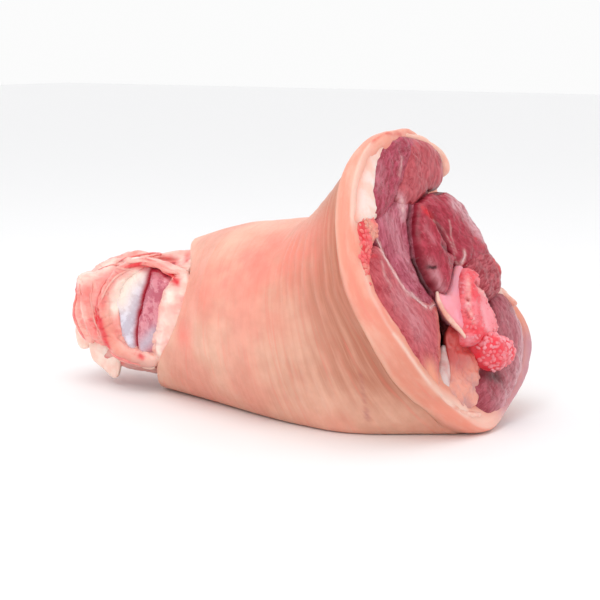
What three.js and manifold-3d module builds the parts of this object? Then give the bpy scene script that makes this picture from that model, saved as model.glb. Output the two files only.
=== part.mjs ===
// A raw pork shank lying on its side: a sleeve of rind that flares to a wide rim, the muscles that
// bulge out of the cut end, the skinned knuckle at the other end and the bones that show at both.
// Millimetres, +Z up. +X runs along the leg to the cut end, and the origin lies on the surface that
// the shank rests on, under the thick part of its sleeve.
import * as THREE from "three";
import { ParametricGeometry } from "three/addons/geometries/ParametricGeometry.js";
import { mergeVertices } from "three/addons/utils/BufferGeometryUtils.js";
import Module from "manifold-3d";

// The cut plane leans back by this angle, and its lowest point is this far along the leg
const CUT_LEAN = THREE.MathUtils.degToRad(21.5);
const CUT_FOOT = { x: 90, z: 1.9 };

// Sections of the rind sleeve along the leg: where each is centred, its lean, how far it reaches to
// the near side, the far side, up and down. What reaches below the resting surface is pressed flat.
const SLEEVE_SECTIONS = [
  { x: -81, z: 37.5, lean: 0, near: 31, far: 31, up: 38, down: 39.5 },
  { x: -56, z: 39.5, lean: 0, near: 38, far: 38, up: 43, down: 44.5 },
  { x: -32, z: 41, lean: 2, near: 44, far: 44, up: 46, down: 50 },
  { x: -10, z: 43.5, lean: 5, near: 49, far: 49, up: 46.5, down: 57 },
  { x: 6, z: 47, lean: 9, near: 51, far: 51, up: 45.5, down: 65 },
  { x: 25, z: 54, lean: 14, near: 52, far: 53, up: 50, down: 74 },
];
const SECTION_SQUARENESS = 2.15;

// Closed lists below run round the leg from the far side over the top, to the near side and the bottom.
// The rim's outline on the cut plane, as radii round its middle, and how far it stands ahead of the plane
const RIM_MIDDLE = 72;
const RIM_RADII = [51, 51, 65, 71, 67.5, 66.5, 63, 60, 57.3, 52, 53, 59, 70, 68, 72, 74.5];
const RIM_AHEAD = [-11, -11, 0, 0, 0, 0, 0, -1];

// The rolled lip of the rind, from the crease behind it to the dished bed of the muscles: how far
// each ring stands outside the rim's outline and ahead of it, at a thickness and spread of 1
const LIP_RINGS = [
  { out: 4, ahead: -9 },
  { out: 5, ahead: -5 },
  { out: 3.2, ahead: -1.2 },
  { out: 0, ahead: 0 },
  { out: -4, ahead: -0.6 },
  { out: -9, ahead: -3.5 },
];
const LIP_THICKNESS = [0.7, 0.6, 0.6, 0.9, 1, 1.5, 1.1, 0.8];
const LIP_SPREAD = [0.8, 0.6, 0.3, 0.6, 1, 1, 0.6, 0.6];
const CREASE_AHEAD = -13;
const CREASE_OUT = [2, 1, -2, -3, 0, 2, 4, 4];
const BED_DEPTH = 7;
const BED_RINGS = 4;

const RIND_THICK = 3.6;
// How far along the leg the rind's cut edge lies at the knuckle
const RIND_EDGE = [-76, -76, -77, -61, -65, -79, -92, -86];

const PRESS_BLEND = 2.5;
const BONE_GAP = 0.3;

// How much further a lobe of the cut end reaches back into the meat than forwards
const LOBE_ROOT = 1.6;
// How blunt the ends of a lobe are, where 2 makes them elliptical
const LOBE_BLUNTNESS = 4;
// Muscle bellies and the other lobes of the cut end. Each is a rounded length of meat along a few
// points [across, up, ahead, half width, half thickness] on the cut plane, in front of it by ahead.
const CUT_LOBES = {
  top_outer_muscle: [
    [11, 137, -6, 5, 5],
    [-2, 132, -3, 11, 6],
    [-15, 124, -2, 12, 6],
    [-23, 115, -3, 10, 6],
    [-30, 105, -5, 6, 5],
  ],
  top_inner_muscle: [
    [22, 135, -6, 6, 6],
    [17, 129, -2, 12, 7],
    [14, 121, -1, 15, 7],
    [13, 113, -3, 11, 7],
  ],
  middle_band: [
    [6, 121, -4, 9, 6],
    [-8, 113, -3, 12, 6],
    [-17, 103, -3, 14, 6],
    [-22, 94, -3, 15, 6],
    [-23, 84, -3, 13, 6],
    [-17, 73, -5, 11, 6],
    [-8, 64, -7, 8, 6],
    [1, 57, -10, 5, 5],
  ],
  lower_outer_muscle: [
    [-38, 92, -7, 5, 5],
    [-41, 82, -4, 10, 6],
    [-41, 70, -3, 16, 7],
    [-34, 58, -2, 18, 8],
    [-29, 46, -3, 17, 7],
    [-24, 35, -5, 11, 6],
    [-20, 25, -8, 5, 4],
  ],
  fold_muscle: [
    [1, 106, -2, 6, 5],
    [-4, 95, 1, 11, 7],
    [-5, 84, 3, 15, 8],
    [-6, 75, 4, 15, 8],
    [-8, 67, 3, 10, 6],
    [-8, 61, 0, 4, 4],
  ],
  back_muscle: [
    [18, 107, -4, 8, 6],
    [19, 98, -1, 13, 8],
    [24, 88, 0, 15, 8],
    [31, 78, -1, 15, 8],
    [39, 69, -3, 12, 8],
    [46, 61, -6, 8, 7],
  ],
  foot_muscle: [
    [49, 61, -8, 6, 6],
    [54, 49, -5, 11, 8],
    [51, 38, -5, 14, 8],
    [38, 29, -5, 15, 8],
    [24, 20, -6, 13, 7],
    [14, 13, -8, 7, 5],
  ],
  bed_muscle: [
    [24, 60, -9, 16, 8],
    [20, 44, -9, 16, 8],
    [12, 28, -9, 14, 8],
  ],
  joint_lining: [
    [7, 71, 2, 4, 3],
    [0, 61, 3, 6, 4],
    [-2, 51, 3, 6, 4],
    [0, 41, 3, 4, 3],
  ],
  fat_tongue: [
    [-6, 47, 1, 4, 3],
    [-7, 37, 3, 9, 4],
    [-9, 28, 4, 12, 4],
    [-9, 20, 1, 11, 4],
    [-6, 14, -3, 6, 4],
  ],
};

// The split between the lower muscle and the fat tongue, as a lobe that is cut away
const CUT_SPLIT = [
  [-8, 56, 6, 2, 9],
  [-14, 46, 3, 4, 12],
  [-18, 34, 1, 4, 11],
  [-20, 24, 0, 2, 6],
];

// The shin bone: [x, y, z, half width, half thickness] from the hock joint to the head on the cut
const SHIN_SHAFT = [
  [-84, -6, 40, 8, 14],
  [-60, -3, 40, 9, 10],
  [-20, 2, 44, 8, 9],
  [20, 2, 50, 9, 10],
  [52, 6, 57, 11, 12],
  [70, 12, 56, 11, 12],
  [80, 14, 54, 8, 8],
];
const SHIN_FOOT = [
  [-84, -12, 62, 3, 5],
  [-82, -14, 56, 6.5, 10],
  [-83.5, -16, 46, 7.5, 11],
  [-88, -16, 33, 7.5, 11],
  [-93, -13, 21, 5, 8],
];
// The spongy head on the cut plane, as the lobes of the cut end are given
const BONE_HEAD = {
  sawn_ridge: [
    [22, 73, -3, 6, 6],
    [19, 66, 0, 10, 8],
    [14, 57, 3, 13, 8],
    [12, 47, 5, 12, 8],
    [10, 38, 6, 10, 7],
  ],
  sawn_knob: [
    [0, 35, 6, 6, 6],
    [8, 33, 8, 11, 8],
    [16, 32, 8, 10, 8],
    [24, 31, 6, 5, 5],
  ],
};
// The ankle bone on the other side of the joint's slit
const ANKLE_BONE = [
  [-96, -13, 63, 4, 6],
  [-98, -16, 55, 7, 11],
  [-102, -17, 45, 8, 11.5],
  [-105.5, -17, 34, 8, 11],
  [-105, -13, 23, 5, 7],
];

// The skinned knuckle, in sections like the sleeve's
const KNUCKLE_SECTIONS = [
  { x: -150, z: 33, lean: 0, near: 12, far: 13, up: 14, down: 12 },
  { x: -143, z: 34, lean: 0, near: 18, far: 19, up: 21, down: 17 },
  { x: -128, z: 35.5, lean: 0, near: 24, far: 24, up: 27.5, down: 23 },
  { x: -110, z: 36, lean: 0, near: 26, far: 26, up: 26.5, down: 24 },
  { x: -91, z: 36.5, lean: 0, near: 27, far: 28, up: 27.5, down: 26 },
  { x: -68, z: 37.5, lean: 0, near: 28, far: 28, up: 31.5, down: 30 },
];
// The middles of its two ends, of which the last lies inside the sleeve
const KNUCKLE_ENDS = [
  { x: -152, z: 33 },
  { x: -58, z: 38 },
];
// The opening in the knuckle's sinew that shows the joint, as a lobe that is cut away
const JOINT_WINDOW = [
  [-88, -31, 64, 5, 6],
  [-92, -31, 55, 13, 12],
  [-96, -31, 41, 16, 12],
  [-98, -30, 29, 13, 11],
  [-96, -28, 19, 5, 6],
];
// Knobs, bands and loose flaps of sinew and fat on the knuckle: [x, y, z, half width, half thickness]
const KNUCKLE_LOBES = {
  end_knob: [
    [-124, -18, 52, 6, 5],
    [-134, -15, 48, 9, 7],
    [-141, -8, 43, 10, 7],
    [-143, 4, 38, 10, 7],
    [-139, 14, 33, 7, 6],
  ],
  window_rim: [
    [-84, -18, 65, 4, 4],
    [-103, -22, 60, 5, 4],
    [-116, -24, 46, 5, 4],
    [-116, -25, 30, 5, 4],
    [-104, -26, 18, 5, 4],
    [-82, -24, 15, 5, 4],
  ],
  front_sinew: [
    [-128, -2, 60, 5, 4],
    [-114, -4, 60, 7, 4],
    [-98, -4, 60, 7, 4],
    [-72, -2, 67, 7, 4],
  ],
  heel_sinew: [
    [-136, -10, 22, 5, 4],
    [-122, -16, 17, 6, 4],
    [-106, -16, 15, 6, 4],
    [-84, -12, 12, 6, 4],
  ],
  heel_flap: [
    [-130, -18, 19, 4, 2],
    [-126, -20, 14, 6, 2.2],
    [-119, -22, 9.5, 6.5, 2.2],
    [-112, -22, 7, 5, 2],
  ],
  small_flap: [
    [-140, -15, 29, 4, 2.2],
    [-139, -18, 22, 4.5, 2.2],
    [-137, -19, 17, 3.5, 1.8],
  ],
};

// The wavy cut edge of the rind straightens out over this share of the sleeve
const EDGE_SHARE = 0.25;
const AROUND = 60;
const SLEEVE_STEPS = 20;
const KNUCKLE_AROUND = 40;
const KNUCKLE_STEPS = 12;
const LOBE_AROUND = 12;
const LOBE_STEPS = 10;

const across = new THREE.Vector3(0, 1, 0);
const leaning = (lean) => new THREE.Vector3(-Math.sin(lean), 0, Math.cos(lean));
const facing = (lean) => new THREE.Vector3(Math.cos(lean), 0, Math.sin(lean));

// From cut plane coordinates (across, up, ahead) to the shank's frame
const CUT_FRAME = new THREE.Matrix4()
  .makeBasis(across, leaning(CUT_LEAN), facing(CUT_LEAN))
  .setPosition(CUT_FOOT.x, 0, CUT_FOOT.z);

// Corners of a mesh that lie closer than this are one corner
const WELD_DISTANCE = 1e-3;

const wasm = await Module();
wasm.setup();

// A closed geometry as a solid for joining and cutting. Its collapsed triangles are dropped and its
// faces turned outwards.
function solidOf(geometry) {
  const bare = new THREE.BufferGeometry()
    .setAttribute("position", geometry.getAttribute("position"))
    .setIndex(geometry.getIndex());
  const merged = mergeVertices(bare, WELD_DISTANCE);
  const corners = merged.getIndex().array;
  const kept = [];
  for (let i = 0; i < corners.length; i += 3) {
    const [a, b, c] = corners.slice(i, i + 3);
    if (a !== b && b !== c && c !== a) kept.push(a, b, c);
  }
  const vertProperties = merged.getAttribute("position").array;
  const make = (order) =>
    new wasm.Manifold(new wasm.Mesh({ numProp: 3, vertProperties, triVerts: new Uint32Array(order) }));
  const solid = make(kept);
  return solid.volume() > 0 ? solid : make(kept.reverse());
}

function geometryOf(solid) {
  const mesh = solid.getMesh();
  const geometry = new THREE.BufferGeometry();
  geometry.setAttribute("position", new THREE.BufferAttribute(mesh.vertProperties, 3));
  geometry.setIndex(new THREE.BufferAttribute(mesh.triVerts, 1));
  geometry.computeVertexNormals();
  return geometry;
}

const joined = (solids) => solids.reduce((all, solid) => all.add(solid));
// Without the crumbs that a cut can leave
const largest = (solid) => solid.decompose().sort((a, b) => b.volume() - a.volume())[0];

// A smooth value at t from 0 to 1 through a list of numbers
function along(values, t) {
  const last = values.length - 1;
  const place = Math.min(Math.max(t, 0), 1) * last;
  const i = Math.min(Math.floor(place), last - 1);
  const before = values[Math.max(i - 1, 0)];
  const after = values[Math.min(i + 2, last)];
  const f = place - i;
  const [p, q] = [values[i], values[i + 1]];
  return (
    0.5 *
    (2 * p + (q - before) * f + (2 * before - 5 * p + 4 * q - after) * f * f +
      (3 * p - before - 3 * q + after) * f ** 3)
  );
}

// The same for a closed list
function round(values, turn) {
  const n = values.length;
  const place = (((turn % 1) + 1) % 1) * n;
  const i = Math.floor(place);
  const near = [-1, 0, 1, 2].map((k) => values[(i + k + n) % n]);
  return along(near, (1 + place - i) / 3);
}

const rimRadius = (turn) => round(RIM_RADII, turn);

// The radius of a section in the direction of turn
function sectionRadius(section, turn) {
  if (section.radius) return section.radius(turn);
  const angle = turn * 2 * Math.PI;
  const [c, s] = [Math.cos(angle), Math.sin(angle)];
  const wide = c > 0 ? section.far : section.near;
  const high = s > 0 ? section.up : section.down;
  const p = SECTION_SQUARENESS;
  return (Math.abs(c / wide) ** p + Math.abs(s / high) ** p) ** (-1 / p);
}

// The point in the direction of turn at t along a list of sections
function sectionPoint(sections, t, turn) {
  const at = (value) => along(sections.map(value), t);
  const r = at((section) => sectionRadius(section, turn));
  const up = leaning(THREE.MathUtils.degToRad(at((section) => section.lean)));
  const angle = turn * 2 * Math.PI;
  return new THREE.Vector3(at((section) => section.x), 0, at((section) => section.z))
    .addScaledVector(across, r * Math.cos(angle))
    .addScaledVector(up, r * Math.sin(angle));
}

function cutPoint(turn, radius, ahead) {
  const angle = turn * 2 * Math.PI;
  const [u, v] = [radius * Math.cos(angle), RIM_MIDDLE + radius * Math.sin(angle)];
  return new THREE.Vector3(u, v, ahead).applyMatrix4(CUT_FRAME);
}

// Meat that would reach below the resting surface lies flat on it, with a soft edge
function pressed(point) {
  const z = point.z;
  const soft = Math.max(PRESS_BLEND - Math.abs(z), 0) ** 2 / (4 * PRESS_BLEND);
  point.z = Math.max(z, 0) + soft;
  return point;
}

// A closed skin through rings, each a function of turn, with a point at both ends
function skinned(first, rings, last, around) {
  const stacks = rings.length + 1;
  const place = (turn, t, target) => {
    const row = Math.round(t * stacks);
    if (row === 0) target.copy(first);
    else if (row === stacks) target.copy(last);
    else target.copy(pressed(rings[row - 1](turn % 1)));
  };
  return solidOf(new ParametricGeometry(place, around, stacks));
}

// A rounded lobe along points [x, y, z, half width, half thickness], its width square to "ahead"
function lobe(points, ahead, grow = 0, root = 1) {
  const spine = new THREE.CatmullRomCurve3(points.map(([x, y, z]) => new THREE.Vector3(x, y, z)));
  const place = (turn, t, target) => {
    const s = (1 - Math.cos(Math.PI * t)) / 2;
    const cap = Math.sqrt(Math.max(1 - (2 * s - 1) ** LOBE_BLUNTNESS, 0));
    const angle = turn * 2 * Math.PI;
    const tangent = spine.getTangent(s);
    const side = new THREE.Vector3().crossVectors(tangent, ahead).normalize();
    const out = new THREE.Vector3().crossVectors(side, tangent).normalize();
    const wide = (along(points.map((p) => p[3]), s) + grow) * cap;
    const deeper = Math.sin(angle) < 0 ? root : 1;
    const thick = (along(points.map((p) => p[4]), s) + grow) * cap * deeper;
    target
      .copy(spine.getPoint(s))
      .addScaledVector(tangent, grow * (2 * s - 1))
      .addScaledVector(side, wide * Math.cos(angle))
      .addScaledVector(out, thick * Math.sin(angle));
  };
  return new ParametricGeometry(place, LOBE_AROUND, LOBE_STEPS);
}

const AHEAD_ON_CUT = new THREE.Vector3(0, 0, 1);
const cutLobe = (points, grow, root) =>
  solidOf(lobe(points, AHEAD_ON_CUT, grow, root).applyMatrix4(CUT_FRAME));

const AHEAD_ON_LEG = new THREE.Vector3(0, 1, 0);
const legLobe = (points, grow) => solidOf(lobe(points, AHEAD_ON_LEG, grow));

// The crease behind the lip, as the last section of the sleeve
function creaseSection() {
  const middle = new THREE.Vector3(0, RIM_MIDDLE, CREASE_AHEAD).applyMatrix4(CUT_FRAME);
  const radius = (turn) => rimRadius(turn) + round(CREASE_OUT, turn);
  return { x: middle.x, z: middle.z, lean: THREE.MathUtils.radToDeg(CUT_LEAN), radius };
}

// A ring of the lip. Where it stands outside the rim, it does so by the lip's own spread there.
function lipRing({ out, ahead }) {
  return (turn) => {
    const spread = out > 0 ? round(LIP_SPREAD, turn) : 1;
    const level = ahead * round(LIP_THICKNESS, turn) + round(RIM_AHEAD, turn);
    return cutPoint(turn, rimRadius(turn) + out * spread, level);
  };
}

// A ring of the bed that the muscles lie in, at a share of the way out from its middle
function bedRing(share) {
  const edge = LIP_RINGS.at(-1);
  return (turn) => {
    const level = edge.ahead + round(RIM_AHEAD, turn);
    const sunk = (BED_DEPTH + level) * (1 - share * share);
    return cutPoint(turn, (rimRadius(turn) + edge.out) * share, level - sunk);
  };
}

// The sleeve of rind with its rolled lip, and the meat inside it down to the bed of the muscles
function sleeve() {
  const sections = [...SLEEVE_SECTIONS, creaseSection()];
  const start = SLEEVE_SECTIONS[0];
  const skin = (t, inset) => (turn) => {
    const point = sectionPoint(sections, t, turn);
    point.x += (round(RIND_EDGE, turn) - start.x) * Math.max(1 - t / EDGE_SHARE, 0);
    const inwards = new THREE.Vector3(point.x, 0, start.z).sub(point).normalize();
    return point.addScaledVector(inwards, inset);
  };
  const rings = [skin(0, RIND_THICK)];
  for (let i = 0; i < SLEEVE_STEPS; i++) rings.push(skin(i / (SLEEVE_STEPS - 1), 0));
  rings.push(...LIP_RINGS.map(lipRing));
  for (let i = BED_RINGS - 1; i > 0; i--) rings.push(bedRing(i / BED_RINGS));
  const inside = new THREE.Vector3(Math.max(...RIND_EDGE), 0, start.z);
  return skinned(inside, rings, cutPoint(0, 0, -BED_DEPTH), AROUND);
}

function knuckle() {
  const rings = [];
  for (let i = 0; i < KNUCKLE_STEPS; i++) {
    rings.push((turn) => sectionPoint(KNUCKLE_SECTIONS, i / (KNUCKLE_STEPS - 1), turn));
  }
  const [first, last] = KNUCKLE_ENDS.map(({ x, z }) => new THREE.Vector3(x, 0, z));
  const lobes = Object.values(KNUCKLE_LOBES).map((points) => legLobe(points));
  return joined([skinned(first, rings, last, KNUCKLE_AROUND), ...lobes]);
}

function shinBone(grow = 0) {
  const head = Object.values(BONE_HEAD).map((points) => cutLobe(points, grow));
  return joined([legLobe(SHIN_SHAFT, grow), legLobe(SHIN_FOOT, grow), ...head]);
}

function meat() {
  const lobes = Object.values(CUT_LOBES).map((points) => cutLobe(points, 0, LOBE_ROOT));
  const whole = joined([sleeve(), knuckle(), ...lobes]).trimByPlane([0, 0, 1], 0);
  const opened = whole.subtract(cutLobe(CUT_SPLIT)).subtract(legLobe(JOINT_WINDOW));
  return largest(opened.subtract(shinBone(BONE_GAP)).subtract(legLobe(ANKLE_BONE, BONE_GAP)));
}

function named(name, solid, color, roughness) {
  const material = new THREE.MeshStandardMaterial({ color, roughness, metalness: 0 });
  const mesh = new THREE.Mesh(geometryOf(solid), material);
  mesh.name = name;
  return mesh;
}

const shank = new THREE.Group();
shank.name = "raw_pork_shank";
shank.add(
  named("meat", meat(), 0xe8a184, 0.5),
  named("shin_bone", shinBone(), 0xe2606a, 0.45),
  named("ankle_bone", legLobe(ANKLE_BONE), 0xd9dce8, 0.3),
);

export default shank;
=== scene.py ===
# A raw pork shank on its side: the rind with its rolled lip, the muscles, fat and bone of the cut end,
# and the skinned knuckle with its open joint. Sizes in the tables are millimetres, in the frame's axes.
import itertools
import math

import bpy
import numpy as np
from bpy.props import FloatProperty, FloatVectorProperty, PointerProperty
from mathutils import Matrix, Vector
from mathutils.bvhtree import BVHTree
from mathutils.geometry import delaunay_2d_cdt


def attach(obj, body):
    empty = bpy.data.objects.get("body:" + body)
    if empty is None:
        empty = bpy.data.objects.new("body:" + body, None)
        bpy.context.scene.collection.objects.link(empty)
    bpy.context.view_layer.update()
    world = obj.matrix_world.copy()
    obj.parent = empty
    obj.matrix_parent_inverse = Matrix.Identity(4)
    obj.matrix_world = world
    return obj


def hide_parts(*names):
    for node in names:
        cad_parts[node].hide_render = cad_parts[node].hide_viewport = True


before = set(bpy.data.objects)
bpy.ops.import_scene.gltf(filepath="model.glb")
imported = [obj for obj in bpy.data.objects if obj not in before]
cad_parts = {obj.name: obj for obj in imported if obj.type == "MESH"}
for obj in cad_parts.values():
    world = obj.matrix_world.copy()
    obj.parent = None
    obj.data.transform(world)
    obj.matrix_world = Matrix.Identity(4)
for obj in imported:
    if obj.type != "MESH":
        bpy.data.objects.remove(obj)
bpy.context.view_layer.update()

bl_info = {
    "name": "Raw Pork Shank",
    "version": (1, 0, 0),
    "blender": (4, 5, 0),
    "location": "View3D > Sidebar > Shank",
    "description": "Builds a raw pork shank with its rind, muscles, fat, sinew and bones",
    "category": "Mesh",
}

MM = 0.001

# The camera, as a direction round the shank, and what it looks at
CAMERA_AZIMUTH = 36
CAMERA_ELEVATION = 9
CAMERA_DISTANCE = 795
CAMERA_LENS = 100
CAMERA_TARGET = (-16.13, 2.81, 49.99)

# The cut plane leans back by this angle, and its lowest point is this far along the leg
CUT_LEAN = 21.5
CUT_FOOT = (90, 0, 1.9)

# Sections of the rind sleeve along the leg: where each is centred, its lean, and how far it reaches
# to the near side, the far side, up and down
SLEEVE_SECTIONS = [
    # x, z, lean, near, far, up, down
    (-81, 37.5, 0, 31, 31, 38, 39.5),
    (-56, 39.5, 0, 38, 38, 43, 44.5),
    (-32, 41, 2, 44, 44, 46, 50),
    (-10, 43.5, 5, 49, 49, 46.5, 57),
    (6, 47, 9, 51, 51, 45.5, 65),
    (25, 54, 14, 52, 53, 50, 74),
]
SECTION_SQUARENESS = 2.15

# Closed lists run round the leg from the far side over the top, to the near side and the bottom.
# The rim's outline on the cut plane, as radii round its middle, and how far it stands ahead of it
RIM_MIDDLE = 72
RIM_RADII = [50, 48, 53.5, 70.5, 67.5, 66.5, 63, 60, 57.3, 52, 53, 59, 70, 66.8, 70.8, 74.5]
RIM_AHEAD = [-11, -11, 0, 0, 0, 0, 0, -1]
# Rings of the rolled lip, from behind it to the bed of the muscles: out of the rim and ahead of it
LIP_RINGS = [(4, -9), (5, -5), (3.2, -1.2), (0, 0), (-4, -0.4), (-9, -1.6), (-14, -3.4), (-20, -9)]
LIP_THICKNESS = [0.7, 0.6, 0.6, 0.9, 1, 1.5, 1.1, 0.8]
LIP_SPREAD = [0.8, 0.6, 0.3, 0.6, 1, 1, 0.6, 0.6]
CREASE_AHEAD = -13
CREASE_OUT = [2, 1, -2, -3, 0, 2, 4, 4]
# How far along the leg the rind's cut edge lies at the knuckle
RIND_EDGE = [-76, -76, -77, -61, -65, -82, -92, -86]
EDGE_SHARE = 0.25
PRESS_BLEND = 2.5
BED_LEVEL = -14

# The skinned knuckle, in sections like the sleeve's, and where its two ends close
KNUCKLE_SECTIONS = [
    (-150, 33, 0, 12, 13, 14, 12),
    (-143, 34, 0, 18, 19, 21, 17),
    (-128, 35.5, 0, 24, 24, 27.5, 23),
    (-110, 36, 0, 26, 26, 26.5, 24),
    (-91, 36.5, 0, 27, 28, 27.5, 26),
    (-68, 37.5, 0, 28, 28, 31.5, 30),
]
KNUCKLE_ENDS = [(-152, 0, 33), (-58, 0, 38)]
# Outlines on the near side of the leg, along and up it: the opening in its sinew and the two bones inside
JOINT_WINDOW = [
    (-84, 64), (-79.5, 60.5), (-77, 54.5), (-77.5, 46.5), (-79.5, 38), (-83.5, 30), (-88.5, 23.5), (-94, 21),
    (-99.5, 24.5), (-105, 30), (-106.5, 37.5), (-106, 44.5), (-102, 51.5), (-95, 58.5), (-89, 62.5),
]
SHIN_FOOT = [
    (-87.5, 62.5), (-80, 61), (-74, 55), (-73, 47), (-75, 37), (-79, 28), (-87, 19), (-95, 15),
    (-97.5, 21), (-98, 28), (-97, 35), (-95, 42), (-92.5, 49.5), (-89.5, 56.5),
]
ANKLE_BONE = [
    (-87, 63), (-88, 56.5), (-91, 49.5), (-93.5, 42), (-95.5, 35), (-96.5, 28), (-95.5, 21), (-96, 15),
    (-104, 20), (-110, 28), (-112, 37), (-111, 46), (-107, 54), (-98, 61), (-92, 63.5),
]
JOINT_SLIT = [(-87.5, 63), (-89, 56.5), (-92, 49.5), (-94.5, 42), (-96.5, 35), (-97.5, 28), (-96.5, 22)]
# and the blood that runs over the bones at the slit's top
JOINT_BLOOD = [(-97, 62.5), (-91, 62), (-85, 61), (-79, 59.5)]
# Knobs, bands and folds of its sinew: x, y, z, half width, half thickness
KNUCKLE_LOBES = {
    "end_knob": [
        (-124, -18, 52, 6, 5), (-134, -15, 48, 9, 7), (-141, -8, 43, 10, 7), (-143, 4, 38, 10, 7),
        (-139, 14, 33, 7, 6),
    ],
    "window_rim": [
        (-84, -18, 65, 4, 4), (-103, -22, 60, 5, 4), (-114, -24, 46, 5, 4), (-115, -25, 30, 5, 4),
        (-104, -25, 19, 5, 4), (-82, -24, 16, 6, 4),
    ],
    "front_sinew": [(-128, -2, 60, 5, 4), (-114, -4, 60, 7, 4), (-98, -4, 60, 7, 4), (-72, -2, 67, 7, 4)],
    "heel_sinew": [(-136, -10, 22, 5, 4), (-122, -16, 17, 6, 4), (-106, -16, 15, 6, 4), (-84, -12, 12, 6, 4)],
    "upper_fold": [(-124, -10, 61, 3, 2), (-108, -14, 62, 3, 3), (-92, -20, 64.5, 3, 3), (-78, -20, 62.5, 3, 3),
                   (-64, -20, 60, 3, 2)],
    "end_fold": [(-141, -17, 44, 2, 2), (-141, -19, 36, 3, 2.5), (-136, -21, 27, 3, 2.5), (-127, -22, 21, 3, 2)],
    "end_band": [(-134, -20, 48, 2, 2), (-131, -24, 38, 2.5, 2), (-125, -26, 29, 2.5, 2), (-114, -27, 21, 2.5, 2)],
    "right_fold": [
        (-67, -21, 61, 9, 5), (-68, -25, 48, 11, 5), (-70, -26, 36, 11, 5), (-75, -24, 24, 10, 5),
        (-82, -20, 15, 8, 4),
    ],
}
# Loose flaps of sinew that hang from its underside, as outlines on the near side, and how far out they hang
FLAPS = {
    "heel_flap": (
        [(-132, 24), (-127, 22), (-118, 18), (-112, 14), (-112, 9), (-114, 4.5), (-117, 4), (-124, 8), (-130, 12),
         (-133, 18)], 19.5,
    ),
    "small_flap": ([(-143, 30), (-138, 31), (-133, 26), (-134, 20), (-136, 16.5), (-141, 16), (-144, 22)], 17),
    "band_flap": ([(-121, 21), (-110, 19), (-98, 15), (-90, 13), (-92, 10.5), (-101, 11.5), (-112, 14), (-122, 17)], 18),
}
# Lines on its near side: a path along and up the leg, how wide and how strong. Blood,
BLOOD_LINES = [
    ([(-98, 63.5), (-92, 63.5), (-87, 63), (-80.5, 61.5), (-74.5, 60), (-68, 57.5)], 2.2, 1.0),
    ([(-94, 64), (-88, 63.5), (-83, 62)], 3.2, 1.0),
    ([(-97, 63), (-105, 59), (-112, 52), (-115, 42)], 2.6, 0.5),
    ([(-112, 60), (-118, 50)], 7, 0.3),
    ([(-121, 38), (-120, 33)], 3.5, 1.5),
    ([(-117, 34), (-114.5, 27), (-112, 21.5)], 2.4, 1.2),
    ([(-128, 44), (-122, 34), (-117, 24)], 5.5, 0.4),
    ([(-144, 48), (-144.5, 42)], 2.5, 0.8),
    ([(-131, 16), (-125, 14), (-117, 13), (-110, 12)], 1.3, 0.6),
    ([(-87, 62), (-88.5, 57), (-91, 51)], 2.2, 0.8),
    ([(-79, 67), (-76, 66)], 1.6, 0.9),
    ([(-92, 19), (-90, 18)], 1.2, 0.9),
]
# and pale fat and pearly sheets
FAT_PATCHES = [
    ([(-108, 66), (-97, 67.5), (-88, 67.5), (-78, 66)], 2.4, 0.95), ([(-75, 66), (-64, 68)], 6, 0.9),
    ([(-73, 60), (-70, 50), (-71, 39), (-74, 31), (-78, 24)], 6, 0.75), ([(-66, 60), (-64, 44)], 5, 0.5),
    ([(-138, 53), (-128, 58), (-118, 62)], 4, 0.6), ([(-94, 62), (-101, 57), (-107.5, 49), (-109.5, 40)], 3.4, 1.0),
    ([(-134, 40), (-129, 28), (-122, 20)], 1.8, 0.7), ([(-88, 17), (-74, 18)], 4, 0.6),
    ([(-143, 41), (-140, 31), (-135, 20)], 2.2, 0.7),
]
# and the orange-pink band round the opening
ORANGE_BAND = [(-109, 45), (-113, 35), (-110, 25), (-102, 18), (-91, 15), (-82, 17)]
# How far from the middle of the leg the opening's floor lies
WINDOW_DEPTH = 20
# Strands of sinew laid over it: a path, how thick, and which paint
SINEW_STRANDS = [
    ([(-112, 62), (-104, 64), (-95, 65), (-86, 64.5), (-77, 62), (-69, 61)], 1.1, "pale"),
    ([(-124, 60), (-114, 61), (-106, 61), (-98, 61)], 0.7, "pale"),
    ([(-103, 61.5), (-96, 63.5), (-89, 64.5), (-81, 62.5), (-71, 58)], 1.2, "blood"),
    ([(-99, 61), (-107, 57), (-113, 50), (-117, 43)], 0.6, "pale"),
    ([(-117, 57), (-121, 50), (-122, 42), (-120, 34)], 0.5, "rose"),
    ([(-138, 50), (-136, 42), (-131, 32), (-124, 23), (-118, 19)], 0.9, "pale"),
    ([(-142, 44), (-141, 36), (-137, 28), (-131, 22)], 0.8, "rose"),
    ([(-128, 52), (-127, 42), (-123, 32), (-115, 23)], 0.5, "pale"),
    ([(-122, 24), (-112, 19), (-102, 16), (-92, 14)], 0.8, "rose"),
    ([(-118, 19), (-108, 16), (-98, 14)], 0.5, "pale"),
    ([(-131, 57), (-122, 60), (-112, 60), (-103, 58)], 0.4, "rose"),
    ([(-118, 62), (-110, 65), (-98, 67), (-84, 66)], 0.6, "rose"),
]

SLEEVE_AROUND = 280
SLEEVE_ROWS = 190
LIP_ROWS = 60

# How far below the cut plane the muscles' hidden undersides lie, less far at the top, where the rind
# draws in behind them
ROOT_LEVEL = -13
TOP_ROOT_LEVEL = -8


# Numbers and curves

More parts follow.
